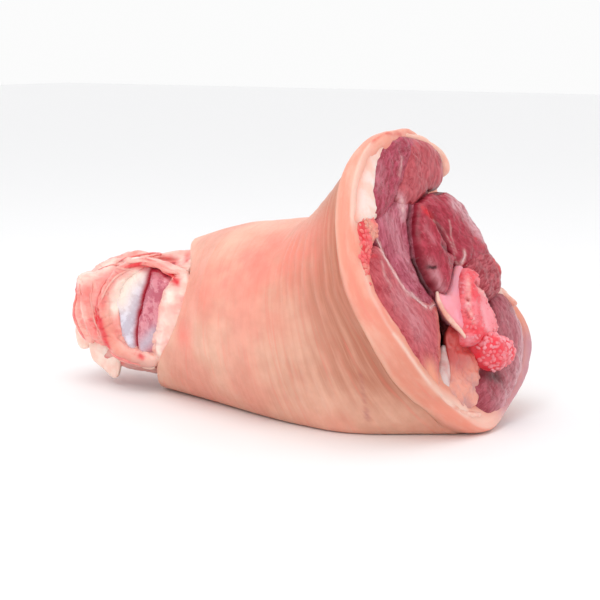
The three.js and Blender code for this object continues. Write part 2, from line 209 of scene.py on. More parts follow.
def smooth_through(points, t, closed=False):
    """Values at shares t on a smooth curve through a list of numbers, points or arrays"""
    points = np.asarray(points, float)
    t = np.asarray(t, float)
    count = len(points)
    spans = count if closed else count - 1
    place = (t % 1 if closed else np.clip(t, 0, 1)) * spans
    first = np.minimum(place.astype(int), spans - 1)
    f = (place - first).reshape((-1,) + (1,) * (points.ndim - 1))

    def value(k):
        return points[(first + k) % count if closed else np.clip(first + k, 0, count - 1)]

    before, p, q, after = (value(k) for k in (-1, 0, 1, 2))
    return 0.5 * (
        2 * p + (q - before) * f
        + (2 * before - 5 * p + 4 * q - after) * f**2
        + (3 * p - before - 3 * q + after) * f**3
    )


def round_list(values, turn):
    """Values at shares of a turn through a closed list"""
    return smooth_through(values, turn, closed=True)


def path_through(points, spacing, closed=False):
    """Points about `spacing` apart on a smooth curve through a few points"""
    points = np.asarray(points, float)
    fine = smooth_through(points, np.linspace(0, 1, 40 * len(points) + 1), closed)
    if closed:
        fine[-1] = fine[0]
    length = np.linalg.norm(np.diff(fine[:, :3], axis=0), axis=1)
    reach = np.concatenate([[0], np.cumsum(length)])
    count = max(int(round(reach[-1] / spacing)), 3)
    at = np.linspace(0, reach[-1], count + 1)
    even = np.stack([np.interp(at, reach, column) for column in fine.T], axis=1)
    return even[:-1] if closed else even


def scramble(cell, seed):
    """A whole number that looks random for each cell of a grid"""
    mixed = (cell @ np.array([73856093, 19349663, 83492791]) + seed * 7919) & 0xFFFFFFFF
    mixed = ((mixed ^ (mixed >> 15)) * 2246822519) & 0xFFFFFFFF
    mixed = ((mixed ^ (mixed >> 13)) * 3266489917) & 0xFFFFFFFF
    return mixed ^ (mixed >> 16)


GRADIENTS = np.array(
    [g for g in itertools.product((-1, 0, 1), repeat=3) if abs(g[0]) + abs(g[1]) + abs(g[2]) == 2]
)


def noise(points, size, seed=0):
    """Smooth random heights from about -1 to 1, with bumps about `size` wide"""
    place = points / size + 0.37
    home = np.floor(place).astype(np.int64)
    share = place - home
    ease = share**3 * (share * (share * 6 - 15) + 10)
    total = np.zeros(len(points))
    for corner in itertools.product((0, 1), repeat=3):
        lean = GRADIENTS[scramble(home + corner, seed) % len(GRADIENTS)]
        weight = np.where(corner, ease, 1 - ease).prod(axis=1)
        total += weight * ((share - corner) * lean).sum(axis=1)
    return total


def rough(points, size, octaves=3, seed=0):
    """Noise with finer noise on it"""
    return sum(noise(points, np.asarray(size) / 2**k, seed + k) / 2**k for k in range(octaves))


def cells(points, size, seed=0):
    """Distances, in cells, to the nearest and second nearest of points strewn `size` apart"""
    place = points / size
    home = np.floor(place).astype(np.int64)
    nearest = np.full((2, len(points)), 9.0)
    for step in itertools.product((-1, 0, 1), repeat=3):
        cell = home + step
        middle = cell + np.stack([scramble(cell, seed + k) % 1000 / 1000 for k in range(3)], axis=1)
        gap = np.linalg.norm(place - middle, axis=1)
        nearest = np.sort(np.vstack([nearest, gap]), axis=0)[:2]
    return nearest


def fade(value, low, high):
    """0 up to low, 1 from high, and smooth between them"""
    share = np.clip((value - low) / (high - low), 0, 1)
    return share * share * (3 - 2 * share)


def beside(points, path):
    """Coordinates of points in the plane across and along a path, whose ends run on straight"""
    start, step = path[:-1], np.diff(path, axis=0)
    length = np.linalg.norm(step, axis=1)
    direction = step / length[:, None]
    offset = points[:, None] - start
    reach = (offset * direction).sum(axis=2)
    low = np.where(np.arange(len(step)) == 0, -np.inf, 0)
    high = np.where(np.arange(len(step)) == len(step) - 1, np.inf, length)
    reach = np.clip(reach, low, high)
    nearest = np.linalg.norm(offset - reach[..., None] * direction, axis=2).argmin(axis=1)
    rows = np.arange(len(points))
    away, course = offset[rows, nearest], direction[nearest]
    across = course[:, 0] * away[:, 1] - course[:, 1] * away[:, 0]
    before = np.concatenate([[0], np.cumsum(length)[:-1]])
    return np.stack([across, before[nearest] + reach[rows, nearest]], axis=1)


def gap_to(points, path):
    """Distance from points to a path of straight steps"""
    start, step = path[:-1], np.diff(path, axis=0)
    offset = points[:, None] - start
    share = np.clip((offset * step).sum(axis=2) / (step**2).sum(axis=1), 0, 1)
    return np.linalg.norm(offset - share[..., None] * step, axis=2).min(axis=1)


def inside(points, outline):
    """Which points of the plane lie inside a closed outline"""
    x, y = points[:, 0, None], points[:, 1, None]
    (x0, y0), (x1, y1) = outline.T, np.roll(outline, -1, axis=0).T
    crossed = (y0 > y) != (y1 > y)
    with np.errstate(divide="ignore", invalid="ignore"):
        left = x < (x1 - x0) * (y - y0) / (y1 - y0) + x0
    return (crossed & left).sum(axis=1) % 2 == 1


def leaning(degrees):
    angle = np.radians(degrees)
    return np.stack([-np.sin(angle), 0 * angle, np.cos(angle)], axis=-1)


ACROSS = np.array([0.0, 1.0, 0.0])
UP_THE_CUT = leaning(CUT_LEAN)
OUT_OF_CUT = np.cross(ACROSS, UP_THE_CUT)
CUT_AXES = np.stack([ACROSS, UP_THE_CUT, OUT_OF_CUT])


def from_cut(points):
    """From cut plane coordinates (across, up, ahead) to the frame's"""
    return np.array(CUT_FOOT) + np.asarray(points, float) @ CUT_AXES


def to_cut(points):
    return (points - np.array(CUT_FOOT)) @ CUT_AXES.T


def on_leg(points):
    """From places along, up and out of the near side of the leg to the frame's"""
    along, up, out = np.asarray(points, float).T
    return np.stack([along, -out, up], axis=1)


# A line of sight in the photograph moves this much across and up the cut for each mm ahead of it
SIGHT = np.array([-1.34, -0.11, 1])


def seen_at(points):
    """Where on the cut plane the lines of sight through points in the frame meet it"""
    place = to_cut(points)
    return place[:, :2] - place[:, 2:] * SIGHT[:2]


def pressed(points):
    """Meat that would reach below the resting surface lies flat on it, with a soft edge"""
    z = points[:, 2]
    soft = np.maximum(PRESS_BLEND - np.abs(z), 0) ** 2 / (4 * PRESS_BLEND)
    return np.column_stack([points[:, :2], np.maximum(z, 0) + soft])


# Meshes

class Shape:
    """A closed mesh in millimetres, whose corners have a place across and along their grain"""

    def __init__(self, corners, quads, triangles, grain):
        self.corners = corners
        self.quads = np.asarray(quads, int).reshape(-1, 4)
        self.triangles = np.asarray(triangles, int).reshape(-1, 3)
        self.grain = grain
        a, b, c = (self.corners[k] for k in self.split().T)
        if np.einsum("ij,ij->", a, np.cross(b, c)) < 0:
            self.quads = self.quads[:, ::-1]
            self.triangles = self.triangles[:, ::-1]

    def split(self):
        return np.vstack([self.quads[:, [0, 1, 2]], self.quads[:, [0, 2, 3]], self.triangles])

    def normals(self):
        parts = self.split()
        a, b, c = (self.corners[k] for k in parts.T)
        face = np.cross(b - a, c - a)
        total = np.zeros_like(self.corners)
        for k in parts.T:
            np.add.at(total, k, face)
        return total / np.maximum(np.linalg.norm(total, axis=1, keepdims=True), 1e-9)

    def swell(self, heights):
        """Moves each corner out by its height"""
        self.corners = self.corners + self.normals() * np.asarray(heights)[:, None]
        return self

    def bvh(self):
        return BVHTree.FromPolygons(self.corners.tolist(), self.split().tolist())


def skin(rings, first, last, grain=None):
    """A closed shape through rings of corners, with a point at both ends"""
    rings = np.asarray(rings)
    rows, around = rings.shape[:2]
    index = 1 + np.arange(rows * around).reshape(rows, around)
    after = np.roll(index, -1, axis=1)
    quads = np.stack([index[:-1], after[:-1], after[1:], index[1:]], axis=-1).reshape(-1, 4)
    end = rows * around + 1
    start_fan = np.stack([np.zeros(around, int), after[0], index[0]], axis=1)
    end_fan = np.stack([np.full(around, end), index[-1], after[-1]], axis=1)
    corners = np.vstack([[first], rings.reshape(-1, 3), [last]])
    if grain is None:
        grain = np.zeros((len(corners), 2))
    return Shape(corners, quads, np.vstack([start_fan, end_fan]), grain)


def lobe(points, ahead, around=56, steps=90, root=1, squareness=2.0):
    """A rounded length along points [x, y, z, half width, half thickness], its width square to ahead"""
    points = np.asarray(points, float)
    s = (1 - np.cos(np.pi * np.arange(1, steps) / steps)) / 2
    cap = np.sqrt(1 - (2 * s - 1) ** 4)
    small = 0.01
    middle = smooth_through(points[:, :3], s)
    tangent = smooth_through(points[:, :3], s + small) - smooth_through(points[:, :3], s - small)
    tangent /= np.linalg.norm(tangent, axis=1, keepdims=True)
    side = np.cross(tangent, ahead)
    side /= np.linalg.norm(side, axis=1, keepdims=True)
    out = np.cross(side, tangent)
    turn = np.arange(around) / around * 2 * np.pi
    c, w = np.cos(turn), np.sin(turn)
    r = (np.abs(c) ** squareness + np.abs(w) ** squareness) ** (-1 / squareness)
    wide = smooth_through(points[:, 3], s) * cap
    thick = smooth_through(points[:, 4], s) * cap
    deeper = np.where(w < 0, root, 1)
    rings = (
        middle[:, None]
        + (wide[:, None] * (r * c))[..., None] * side[:, None]
        + (thick[:, None] * (r * w * deeper))[..., None] * out[:, None]
    )
    length = np.linalg.norm(np.diff(middle, axis=0), axis=1)
    along = np.concatenate([[0], np.cumsum(length)])
    across = wide[:, None] * (r * c)
    grid = np.stack(np.broadcast_arrays(across, along[:, None]), axis=-1).reshape(-1, 2)
    grain = np.vstack([[0, 0], grid, [0, along[-1]]])
    return skin(rings, points[0, :3], points[-1, :3], grain)


def cut_lobe(points, **shape):
    """A lobe given on the cut plane"""
    made = lobe(points, np.array([0.0, 0.0, 1.0]), **shape)
    made.corners = from_cut(made.corners)
    return made


def leg_lobe(points, **shape):
    """A lobe on the knuckle, its width square to the leg's near side"""
    return lobe(points, ACROSS, **shape)


def belly(outline, edge, crown, shoulder, grain_path, spacing=0.6, root=ROOT_LEVEL, drift=0, tuck=0,
          place=from_cut):
    """A cushion of meat on the cut plane: a few points of its outline, the level of its edge, how high it
    rises inside, how wide its rounded shoulder is, and the path that its fibres follow. Its underside lies
    at the root level, and may drift across and be tucked in by a share of its width."""
    border = path_through(outline, spacing, closed=True)
    loop = np.vstack([border, border[:1]])
    low, high = border.min(axis=0), border.max(axis=0)
    rows = np.arange(low[1], high[1], spacing * 0.866)
    grid = [
        (x + (k % 2) * spacing / 2, y)
        for k, y in enumerate(rows)
        for x in np.arange(low[0], high[0], spacing)
    ]
    grid = np.array(grid)
    grid = grid[inside(grid, border)]
    grid = grid[gap_to(grid, loop) > spacing]
    course = np.roll(border, -1, axis=0) - np.roll(border, 1, axis=0)
    inward = np.stack([-course[:, 1], course[:, 0]], axis=1)
    inward /= np.linalg.norm(inward, axis=1, keepdims=True)
    if not inside(border[:1] + inward[:1] * spacing / 4, border)[0]:
        inward = -inward
    steps = [shoulder * (k / 8) ** 2 for k in range(1, 4) if shoulder * (k / 8) ** 2 < spacing * 0.7]
    rings = np.vstack([border] + [border + inward * step for step in steps])
    flat = np.vstack([rings, grid])
    made = delaunay_2d_cdt(
        [Vector(p) for p in flat], [], [list(range(len(border)))], 1, 1e-4
    )
    flat = np.array([tuple(v) for v in made[0]])
    triangles = np.array(made[2], int)
    depth = gap_to(flat, loop)
    dome = np.sqrt(1 - (1 - np.clip(depth / shoulder, 0, 1)) ** 2)
    middle = border.mean(axis=0)
    level = edge + crown * dome
    edges = np.sort(np.vstack([triangles[:, [0, 1]], triangles[:, [1, 2]], triangles[:, [2, 0]]]), axis=1)
    single, counts = np.unique(edges, axis=0, return_counts=True)
    neighbours = {}
    for a, b in single[counts == 1]:
        neighbours.setdefault(a, []).append(b)
        neighbours.setdefault(b, []).append(a)
    ring = [single[counts == 1][0][0]]
    previous = None
    while True:
        step = next(n for n in neighbours[ring[-1]] if n != previous)
        previous = ring[-1]
        if step == ring[0]:
            break
        ring.append(step)
    ring = np.array(ring)
    base = len(flat) + np.arange(len(ring))
    under = flat[ring] + (middle - flat[ring]) * tuck + [drift, 0]
    corners = np.vstack([
        np.column_stack([flat, level]),
        np.column_stack([under, np.full(len(ring), float(root))]),
    ])
    area = np.cross(np.roll(flat[ring], -1, axis=0), flat[ring]).sum()
    if area > 0:
        ring, base = ring[::-1], base[::-1]
    a, b, c = flat[triangles[:, 0]], flat[triangles[:, 1]], flat[triangles[:, 2]]
    turned = np.cross(b - a, c - a) < 0
    triangles[turned] = triangles[turned][:, ::-1]
    walls = np.stack([np.roll(ring, -1), ring, base, np.roll(base, -1)], axis=1)
    centre = len(corners)
    corners = np.vstack([corners, [[middle[0] + drift, middle[1], root]]])
    floor = np.stack([np.full(len(base), centre), np.roll(base, -1), base], axis=1)
    path = path_through(grain_path, 2)
    shape = Shape(place(corners), walls, np.vstack([triangles, floor]), beside(corners[:, :2], path))
    shape.depth = np.concatenate([depth, np.zeros(len(corners) - len(flat))])
    shape.top = np.arange(len(corners)) < len(flat)
    return shape


def loose_object(name, shapes):
    """An object that only serves to make another"""
    mesh = bpy.data.meshes.new(name)
    corners, faces, count = [], [], 0
    for shape in shapes:
        corners += (shape.corners * MM).tolist()
        faces += (shape.quads + count).tolist() + (shape.triangles + count).tolist()
        count += len(shape.corners)
    mesh.from_pydata(corners, [], faces)
    made = bpy.data.objects.new(name, mesh)
    bpy.context.scene.collection.objects.link(made)
    return made


def plain_shape(source):
    """The shape of an object with its modifiers"""
    mesh = source.evaluated_get(bpy.context.evaluated_depsgraph_get()).to_mesh()
    corners = np.empty(len(mesh.vertices) * 3, np.float32)
    mesh.vertices.foreach_get("co", corners)
    sides = [tuple(face.vertices) for face in mesh.polygons]
    source.to_mesh_clear()
    quads = [side for side in sides if len(side) == 4]
    triangles = [side for side in sides if len(side) == 3]
    corners = corners.reshape(-1, 3).astype(float) / MM
    return Shape(corners, quads, triangles, np.zeros((len(corners), 2)))


def fused(shapes, voxel, cutters=(), smoothing=6):
    """One skin over shapes that overlap, less the cutters, with its creases softened"""
    body = loose_object("fused", shapes)
    tools = [body]
    for name in ("skin", "soft_skin"):
        skin_over = body.modifiers.new(name, "REMESH")
        skin_over.mode = "VOXEL"
        skin_over.voxel_size = voxel * MM
        if name == "soft_skin":
            break
        for cutter in cutters:
            tool = loose_object("cutter", [cutter])
            cut = body.modifiers.new("cut", "BOOLEAN")
            cut.operation = "DIFFERENCE"
            cut.solver = "MANIFOLD"
            cut.object = tool
            tools.append(tool)
    soften = body.modifiers.new("soften", "SMOOTH")
    soften.factor = 0.5
    soften.iterations = smoothing
    made = plain_shape(body)
    for tool in tools:
        mesh = tool.data
        bpy.data.objects.remove(tool)
        bpy.data.meshes.remove(mesh)
    return made


def put(name, shape, material, marks=None, replaces=()):
    """Makes a shape a finished piece, which rides on the shank"""
    mesh = bpy.data.meshes.new(name)
    faces = shape.quads.tolist() + shape.triangles.tolist()
    mesh.from_pydata((shape.corners * MM).tolist(), [], faces)
    mesh.shade_smooth()
    for mark, values in (marks or {}).items():
        values = np.broadcast_to(np.asarray(values, np.float32), len(shape.corners))
        mesh.attributes.new(mark, "FLOAT", "POINT").data.foreach_set("value", values)
    layer = mesh.uv_layers.new(name="Grain")
    used = np.empty(len(mesh.loops), np.int32)
    mesh.loops.foreach_get("vertex_index", used)
    layer.data.foreach_set("uv", (shape.grain[used] * MM).astype(np.float32).ravel())
    mesh.materials.append(material)
    return dress(bpy.data.objects.new(name, mesh), replaces)


def dress(piece, replaces=()):
    bpy.context.scene.collection.objects.link(piece)
    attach(piece, "root")
    if replaces:
        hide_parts(*replaces)
    return piece


# Materials

def srgb(red, green, blue):
    """A screen colour from 0 to 255 as the linear colour that shaders use"""
    return tuple(
        v / 12.92 if v <= 0.04045 else ((v + 0.055) / 1.055) ** 2.4
        for v in (c / 255 for c in (red, green, blue))
    )


class Value:
    """A number on a shader socket, for sums in plain Python"""

    def __init__(self, paint, socket):
        self.paint = paint
        self.socket = socket

    def sum(self, operation, *values):
        return self.paint.node("ShaderNodeMath", {"operation": operation}, dict(enumerate(values)))

    def __add__(self, other):
        return self.sum("ADD", self, other)

    def __sub__(self, other):
        return self.sum("SUBTRACT", self, other)

    def __rsub__(self, other):
        return self.sum("SUBTRACT", other, self)

    def __mul__(self, other):
        return self.sum("MULTIPLY", self, other)

    __radd__ = __add__
    __rmul__ = __mul__


class Nodes:
    """A node tree while it is put together"""

    def __init__(self, tree):
        self.tree = tree

    def node(self, kind, settings=None, sockets=None, output=0):
        """Adds a node, with its settings first and then its sockets' values or links"""
        new = self.tree.nodes.new(kind)
        for name, setting in (settings or {}).items():
            setattr(new, name, setting)
        for name, value in (sockets or {}).items():
            if isinstance(value, Value):
                self.tree.links.new(value.socket, new.inputs[name])
            else:
                new.inputs[name].default_value = value
        return Value(self, new.outputs[output]) if new.outputs else None


class Growth(Nodes):
    """A geometry node tree with named inputs, run over a source shape and kept as a finished piece"""

    def __init__(self, name, **inputs):
        super().__init__(bpy.data.node_groups.new(name, "GeometryNodeTree"))
        inputs["Material"] = ("Material", None)
        face = self.tree.interface
        face.new_socket("Geometry", in_out="INPUT", socket_type="NodeSocketGeometry")
        for label, (kind, _) in inputs.items():
            face.new_socket(label, in_out="INPUT", socket_type="NodeSocket" + kind)
        face.new_socket("Geometry", in_out="OUTPUT", socket_type="NodeSocketGeometry")
        self.settings = {label: value for label, (_, value) in inputs.items()}
        group = self.tree.nodes.new("NodeGroupInput")
        self.inputs = {socket.name: Value(self, socket) for socket in group.outputs if socket.name}

    def end(self, geometry):
        real = self.node("GeometryNodeRealizeInstances", None, {"Geometry": geometry})
        smooth = self.node("GeometryNodeSetShadeSmooth", None, {"Geometry": real})
        painted = self.node(
            "GeometryNodeSetMaterial", None, {"Geometry": smooth, "Material": self.inputs["Material"]}
        )
        self.node("NodeGroupOutput", None, {"Geometry": painted})

    def piece(self, name, source, slot, material, **changes):
        modifier = source.modifiers.new("growth", "NODES")
        modifier.node_group = self.tree
        values = {**self.settings, **changes, "Material": material}
        for socket in self.tree.interface.items_tree:
            if socket.in_out == "INPUT" and socket.name in values:
                modifier[socket.identifier] = values[socket.name]
        grown = source.evaluated_get(bpy.context.evaluated_depsgraph_get())
        mesh = bpy.data.meshes.new_from_object(grown)
        source.modifiers.remove(modifier)
        bare = source.data
        bpy.data.objects.remove(source)
        bpy.data.meshes.remove(bare)
        if not mesh.polygons:
            raise RuntimeError(name + " grew nothing")
        return dress(bpy.data.objects.new(name, mesh))


def strand_growth():
    """Turns bare paths into round strands that wander a little"""
    g = Growth("strands", Thickness=("Float", 1.0), Wander=("Float", 0.0008), Spacing=("Float", 0.0006))
    curve = g.node("GeometryNodeMeshToCurve", None, {"Mesh": g.inputs["Geometry"]})
    even = g.node(
        "GeometryNodeResampleCurve", {"mode": "LENGTH"}, {"Curve": curve, "Length": g.inputs["Spacing"]}
    )
    drift = g.node("ShaderNodeTexNoise", None, {"Scale": 160.0, "Detail": 2.0}, output=1)
    centred = g.node("ShaderNodeVectorMath", {"operation": "SUBTRACT"}, {0: drift, 1: (0.5, 0.5, 0.5)})
    offset = g.node("ShaderNodeVectorMath", {"operation": "SCALE"}, {0: centred, "Scale": g.inputs["Wander"]})
    moved = g.node("GeometryNodeSetPosition", None, {"Geometry": even, "Offset": offset})
    ring = g.node("GeometryNodeCurvePrimitiveCircle", None, {"Resolution": 8, "Radius": g.inputs["Thickness"]})
    size = g.node("GeometryNodeInputNamedAttribute", {"data_type": "FLOAT"}, {"Name": "size"})
    g.end(g.node("GeometryNodeCurveToMesh", None, {
        "Curve": moved, "Profile Curve": ring, "Scale": size, "Fill Caps": True,
    }))
    return g


def grain_growth():
    """Strews rounded grains over a surface, as densely as its amount says"""
    g = Growth(
        "grains", Spacing=("Float", 0.0015), Density=("Float", 600000.0), Smallest=("Float", 0.0008),
        Largest=("Float", 0.0018), Sink=("Float", 0.0007), Seed=("Int", 3),
    )
    amount = g.node("GeometryNodeInputNamedAttribute", {"data_type": "FLOAT"}, {"Name": "amount"})
    points = g.node("GeometryNodeDistributePointsOnFaces", {"distribute_method": "POISSON"}, {
        "Mesh": g.inputs["Geometry"], "Distance Min": g.inputs["Spacing"], "Density Max": g.inputs["Density"],
        "Density Factor": amount, "Seed": g.inputs["Seed"],
    })
    normal = Value(g, points.socket.node.outputs["Normal"])
    inward = g.node("ShaderNodeVectorMath", {"operation": "SCALE"}, {0: normal, "Scale": g.inputs["Sink"] * -1})
    sunk = g.node("GeometryNodeSetPosition", None, {"Geometry": points, "Offset": inward})
    grain = g.node("GeometryNodeMeshIcoSphere", None, {"Radius": 1.0, "Subdivisions": 2})
    scale = g.node("FunctionNodeRandomValue", {"data_type": "FLOAT_VECTOR"}, {
        0: g.inputs["Smallest"], 1: g.inputs["Largest"], 8: g.inputs["Seed"],
    })
    turn = g.node("FunctionNodeRandomValue", {"data_type": "FLOAT_VECTOR"}, {0: (0, 0, 0), 1: (6, 6, 6), 8: 5})
    g.end(g.node("GeometryNodeInstanceOnPoints", None, {
        "Points": sunk, "Instance": grain, "Rotation": turn, "Scale": scale,
    }))
    return g


def grain_source(name, shape, amount):
    """A shape to strew grains on, with how densely each of its corners has them"""
    source = loose_object(name, [shape])
    layer = source.data.attributes.new("amount", "FLOAT", "POINT")
    layer.data.foreach_set("value", np.asarray(amount, np.float32))
    return source


def laid_on(name, shapes, strands, place, ahead):
    """Bare paths laid on shapes from their places along one direction, each thinner at its ends"""
    trees = [shape.bvh() for shape in shapes]
    corners, edges, sizes = [], [], []
    for points, size in strands:
        landed = []
        for start in place(path_through(points, 0.8)):
            hits = [tree.ray_cast(Vector(start), Vector(ahead)) for tree in trees]
            hits = [hit for hit in hits if hit[0] is not None]
            if hits:
                landed.append(tuple(min(hits, key=lambda hit: hit[3])[0]))
        path = np.array(landed)
        for _ in range(3):
            path[1:-1] = (path[:-2] + 2 * path[1:-1] + path[2:]) / 4
        share = np.linspace(0, 1, len(path))
        first = len(corners)
        corners += (path * MM).tolist()
        edges += [(k, k + 1) for k in range(first, len(corners) - 1)]
        sizes += (size * MM * (0.15 + 0.85 * (4 * share * (1 - share)) ** 0.4)).tolist()
    mesh = bpy.data.meshes.new(name)
    mesh.from_pydata(corners, edges, [])
    mesh.attributes.new("size", "FLOAT", "POINT").data.foreach_set("value", sizes)
    made = bpy.data.objects.new(name, mesh)
    bpy.context.scene.collection.objects.link(made)
    return made


class Paint(Nodes):
    """A material while it is put together"""

    def __init__(self, name):
        self.material = bpy.data.materials.new(name)
        self.material.use_nodes = True
        super().__init__(self.material.node_tree)
        self.tree.nodes.clear()
        self.place = self.node("ShaderNodeTexCoord", output="Object")
        self.grain = self.node("ShaderNodeUVMap", {"uv_map": "Grain"})

    def mark(self, name):
        """A mask that the mesh carries"""
        return self.node("ShaderNodeAttribute", {"attribute_name": name}, output="Fac")

    def stretched(self, vector, scale):
        return self.node("ShaderNodeMapping", None, {"Vector": vector, "Scale": scale})

    def noise(self, vector, scale, detail=3.0, roughness=0.55, distortion=0.0):
        sockets = {
            "Vector": vector, "Scale": scale, "Detail": detail,
            "Roughness": roughness, "Distortion": distortion,
        }
        return self.node("ShaderNodeTexNoise", None, sockets)

    def fade(self, value, low, high, start=0.0, end=1.0):
        """Runs smoothly from start at low to end at high"""
        sockets = {"Value": value, "From Min": low, "From Max": high, "To Min": start, "To Max": end}
        return self.node("ShaderNodeMapRange", {"interpolation_type": "SMOOTHSTEP"}, sockets)

    def mix(self, share, first, second):
        sockets = {0: share, 6: colour(first), 7: colour(second)}
        return self.node("ShaderNodeMix", {"data_type": "RGBA"}, sockets, output=2)

    def bump(self, height, strength, distance, normal=None):
        sockets = {"Height": height, "Strength": strength, "Distance": distance}
        if normal:
            sockets["Normal"] = normal
        return self.node("ShaderNodeBump", None, sockets)

    def finish(self, base, roughness, normal, **constants):
        """The surface shader. Its constants are set on its own sockets."""
        sockets = {"Base Color": base, "Roughness": roughness, "Normal": normal}
        sockets.update({name.replace("_", " "): value for name, value in constants.items()})
        shader = self.node("ShaderNodeBsdfPrincipled", {"subsurface_method": "RANDOM_WALK"}, sockets)
        self.node("ShaderNodeOutputMaterial", None, {"Surface": shader})
        return self.material


def colour(value):
    """A colour with its alpha, or a link as it is"""
    return value if isinstance(value, Value) else (*value[:3], 1.0)


def rind_paint(s):
    """Pale skin with pink blotches and faint brownish mottling, painted shade in its crease, underside and lower lip,
    and a bright lip with white fat inside it
    """
    p = Paint("rind")
    broad = p.fade(p.noise(p.place, 24, 2), 0.35, 0.65)
    small = p.fade(p.noise(p.place, 110, 3), 0.3, 0.7)
    round_leg = p.noise(p.stretched(p.grain, (28, 420, 1)), 1, 4, 0.6, 0.4)
    tone = p.mix(broad, s.colour, s.pale)
    tone = p.mix(small * 0.25, tone, s.tan)
    lip_patches = p.fade(p.noise(p.stretched(p.grain, (60, 160, 1)), 1, 4), 0.45, 0.68, 0.0, 0.4)
    lip_tone = p.mix(lip_patches, s.lip, s.pale_lip)
    tone = p.mix(p.mark("lip") * 0.9, tone, lip_tone)
    # Painted shade in the crease behind the lip, on the underside and on the lower lip
    tone = p.mix(p.mark("shade") * p.fade(round_leg, 0.3, 0.65, 0.65, 1.0), tone, s.tan)
    tone = p.mix(p.fade(round_leg, 0.52, 0.72, 0.0, 0.3), tone, s.blush)
    blush = p.mark("blush") * p.fade(p.noise(p.place, 70, 4), 0.3, 0.62, 0.45, 1.0)
    tone = p.mix(blush, tone, s.blush)
    tone = p.mix(p.mark("mauve"), tone, s.mauve)
    tone = p.mix(p.mark("fat"), tone, s.fat)
    tone = p.mix(p.mark("scar") * 0.7, tone, s.scar)
    tone = p.mix(p.mark("blood"), tone, s.blood)
    hairs = p.noise(p.stretched(p.grain, (1100, 130, 1)), 1, 3)
    pores = p.noise(p.place, 900, 3, 0.65)
    height = hairs * 0.5 + pores * 0.8 + round_leg * 1.2
    normal = p.bump(height, 0.2, 0.0008)
    roughness = p.fade(pores, 0.3, 0.7, 0.36, 0.52)
    return p.finish(
        tone, roughness, normal, Subsurface_Weight=0.22, Subsurface_Radius=(1.0, 0.42, 0.28),
        Subsurface_Scale=0.003, Specular_IOR_Level=0.35, Coat_Weight=0.08, Coat_Roughness=0.3,
    )


def muscle_paint(name, s, dark, light, fibrous):
    """Lean meat: short fibres along its grain, dark patches, fine painted glints, a sheen that is partly
    painted highlight, painted shade in its gaps, and a wet skin. A smooth muscle is less fibrous."""
    p = Paint(name)
    fibres = p.noise(p.stretched(p.grain, (1500, 360, 1)), s.fibre_scale, 3, 0.6, 0.4)
    bundles = p.noise(p.stretched(p.grain, (560, 180, 1)), s.fibre_scale, 3, 0.6, 0.8)
    patches = p.noise(p.place, 120, 3, 0.6)
    glint_specks = p.noise(p.stretched(p.grain, (1300, 800, 1)), 1, 2, 0.5, 0.5)
    even = 0.35 * (1 - fibrous)
    tone = p.mix(p.fade(bundles, 0.34, 0.68, even, 0.6), dark, light)
    tone = p.mix(p.fade(patches, 0.5, 0.68, 0.0, 0.6), tone, dark)
    tone = p.mix(p.fade(fibres, 0.5, 0.72, 0.0, 0.2 + 0.5 * fibrous), tone, light)
    # Sheen: the greyish mauve of thin skins on the meat, and in places a painted highlight
    tone = p.mix(p.mark("sheen") * p.fade(bundles, 0.3, 0.62, 0.4, 1.0), tone, s.sheen)
    # Painted glints: fine pale flecks standing in for the small highlights on the wet meat
    tone = p.mix(p.fade(glint_specks, 0.66, 0.78, 0.0, 0.15 + 0.35 * fibrous), tone, s.fascia)
    tone = p.mix(p.mark("blood"), tone, s.blood)
    tone = p.mix(p.mark("peach"), tone, s.peach)
    tone = p.mix(p.mark("pale") * p.fade(fibres, 0.3, 0.6, 0.6, 1.0), tone, s.fascia)
    # Painted shade in the clefts, along the muscles' edges and over the bed behind them
    tone = p.mix(p.mark("gap_shade"), tone, s.gap_shade)
    height = fibres * 0.5 + bundles * 0.7 + glint_specks * 0.5
    normal = p.bump(height, 0.15 + 0.35 * fibrous, 0.0007)
    roughness = p.fade(patches, 0.35, 0.65, 0.5, 0.26)
    return p.finish(
        tone, roughness, normal, Subsurface_Weight=0.1, Subsurface_Radius=(1.0, 0.25, 0.2),
        Subsurface_Scale=0.002, Specular_IOR_Level=0.28, Coat_Weight=0.2, Coat_Roughness=0.14,
    )


def fat_paint(name, s, pale, warm, bloody=None, gloss=0.3):
    """Fat or sinew: pale and slightly see-through, with blood where the mesh marks it"""
    p = Paint(name)
    broad = p.fade(p.noise(p.place, 130, 4), 0.35, 0.65)
    tone = p.mix(broad, pale, warm)
    if bloody:
        tone = p.mix(p.mark("blood"), tone, bloody)
    height = p.noise(p.place, 420, 4, 0.6)
    normal = p.bump(height, 0.25, 0.0006)
    roughness = p.fade(height, 0.3, 0.7, 0.3, 0.46)
    return p.finish(
        tone, roughness, normal, Subsurface_Weight=0.25, Subsurface_Radius=(1.0, 0.45, 0.35),
        Subsurface_Scale=0.003, Specular_IOR_Level=0.5, Coat_Weight=gloss, Coat_Roughness=0.16,
    )


# Pieces

def section_radii(sections, c, w):
    wide = np.where(c > 0, sections[:, 4:5], sections[:, 3:4])
    high = np.where(w > 0, sections[:, 5:6], sections[:, 6:7])
    power = SECTION_SQUARENESS
    return (np.abs(c / wide) ** power + np.abs(w / high) ** power) ** (-1 / power)


def section_rings(centres, radii, t, c, w):
    """Rings at shares t through sections, of which centres gives x, z and lean"""
    r = smooth_through(radii, t)
    x, z, lean = smooth_through(centres, t).T
    spokes = c[:, None] * ACROSS + w[:, None] * leaning(lean)[:, None]
    return np.stack([x, 0 * x, z], axis=1)[:, None] + r[..., None] * spokes


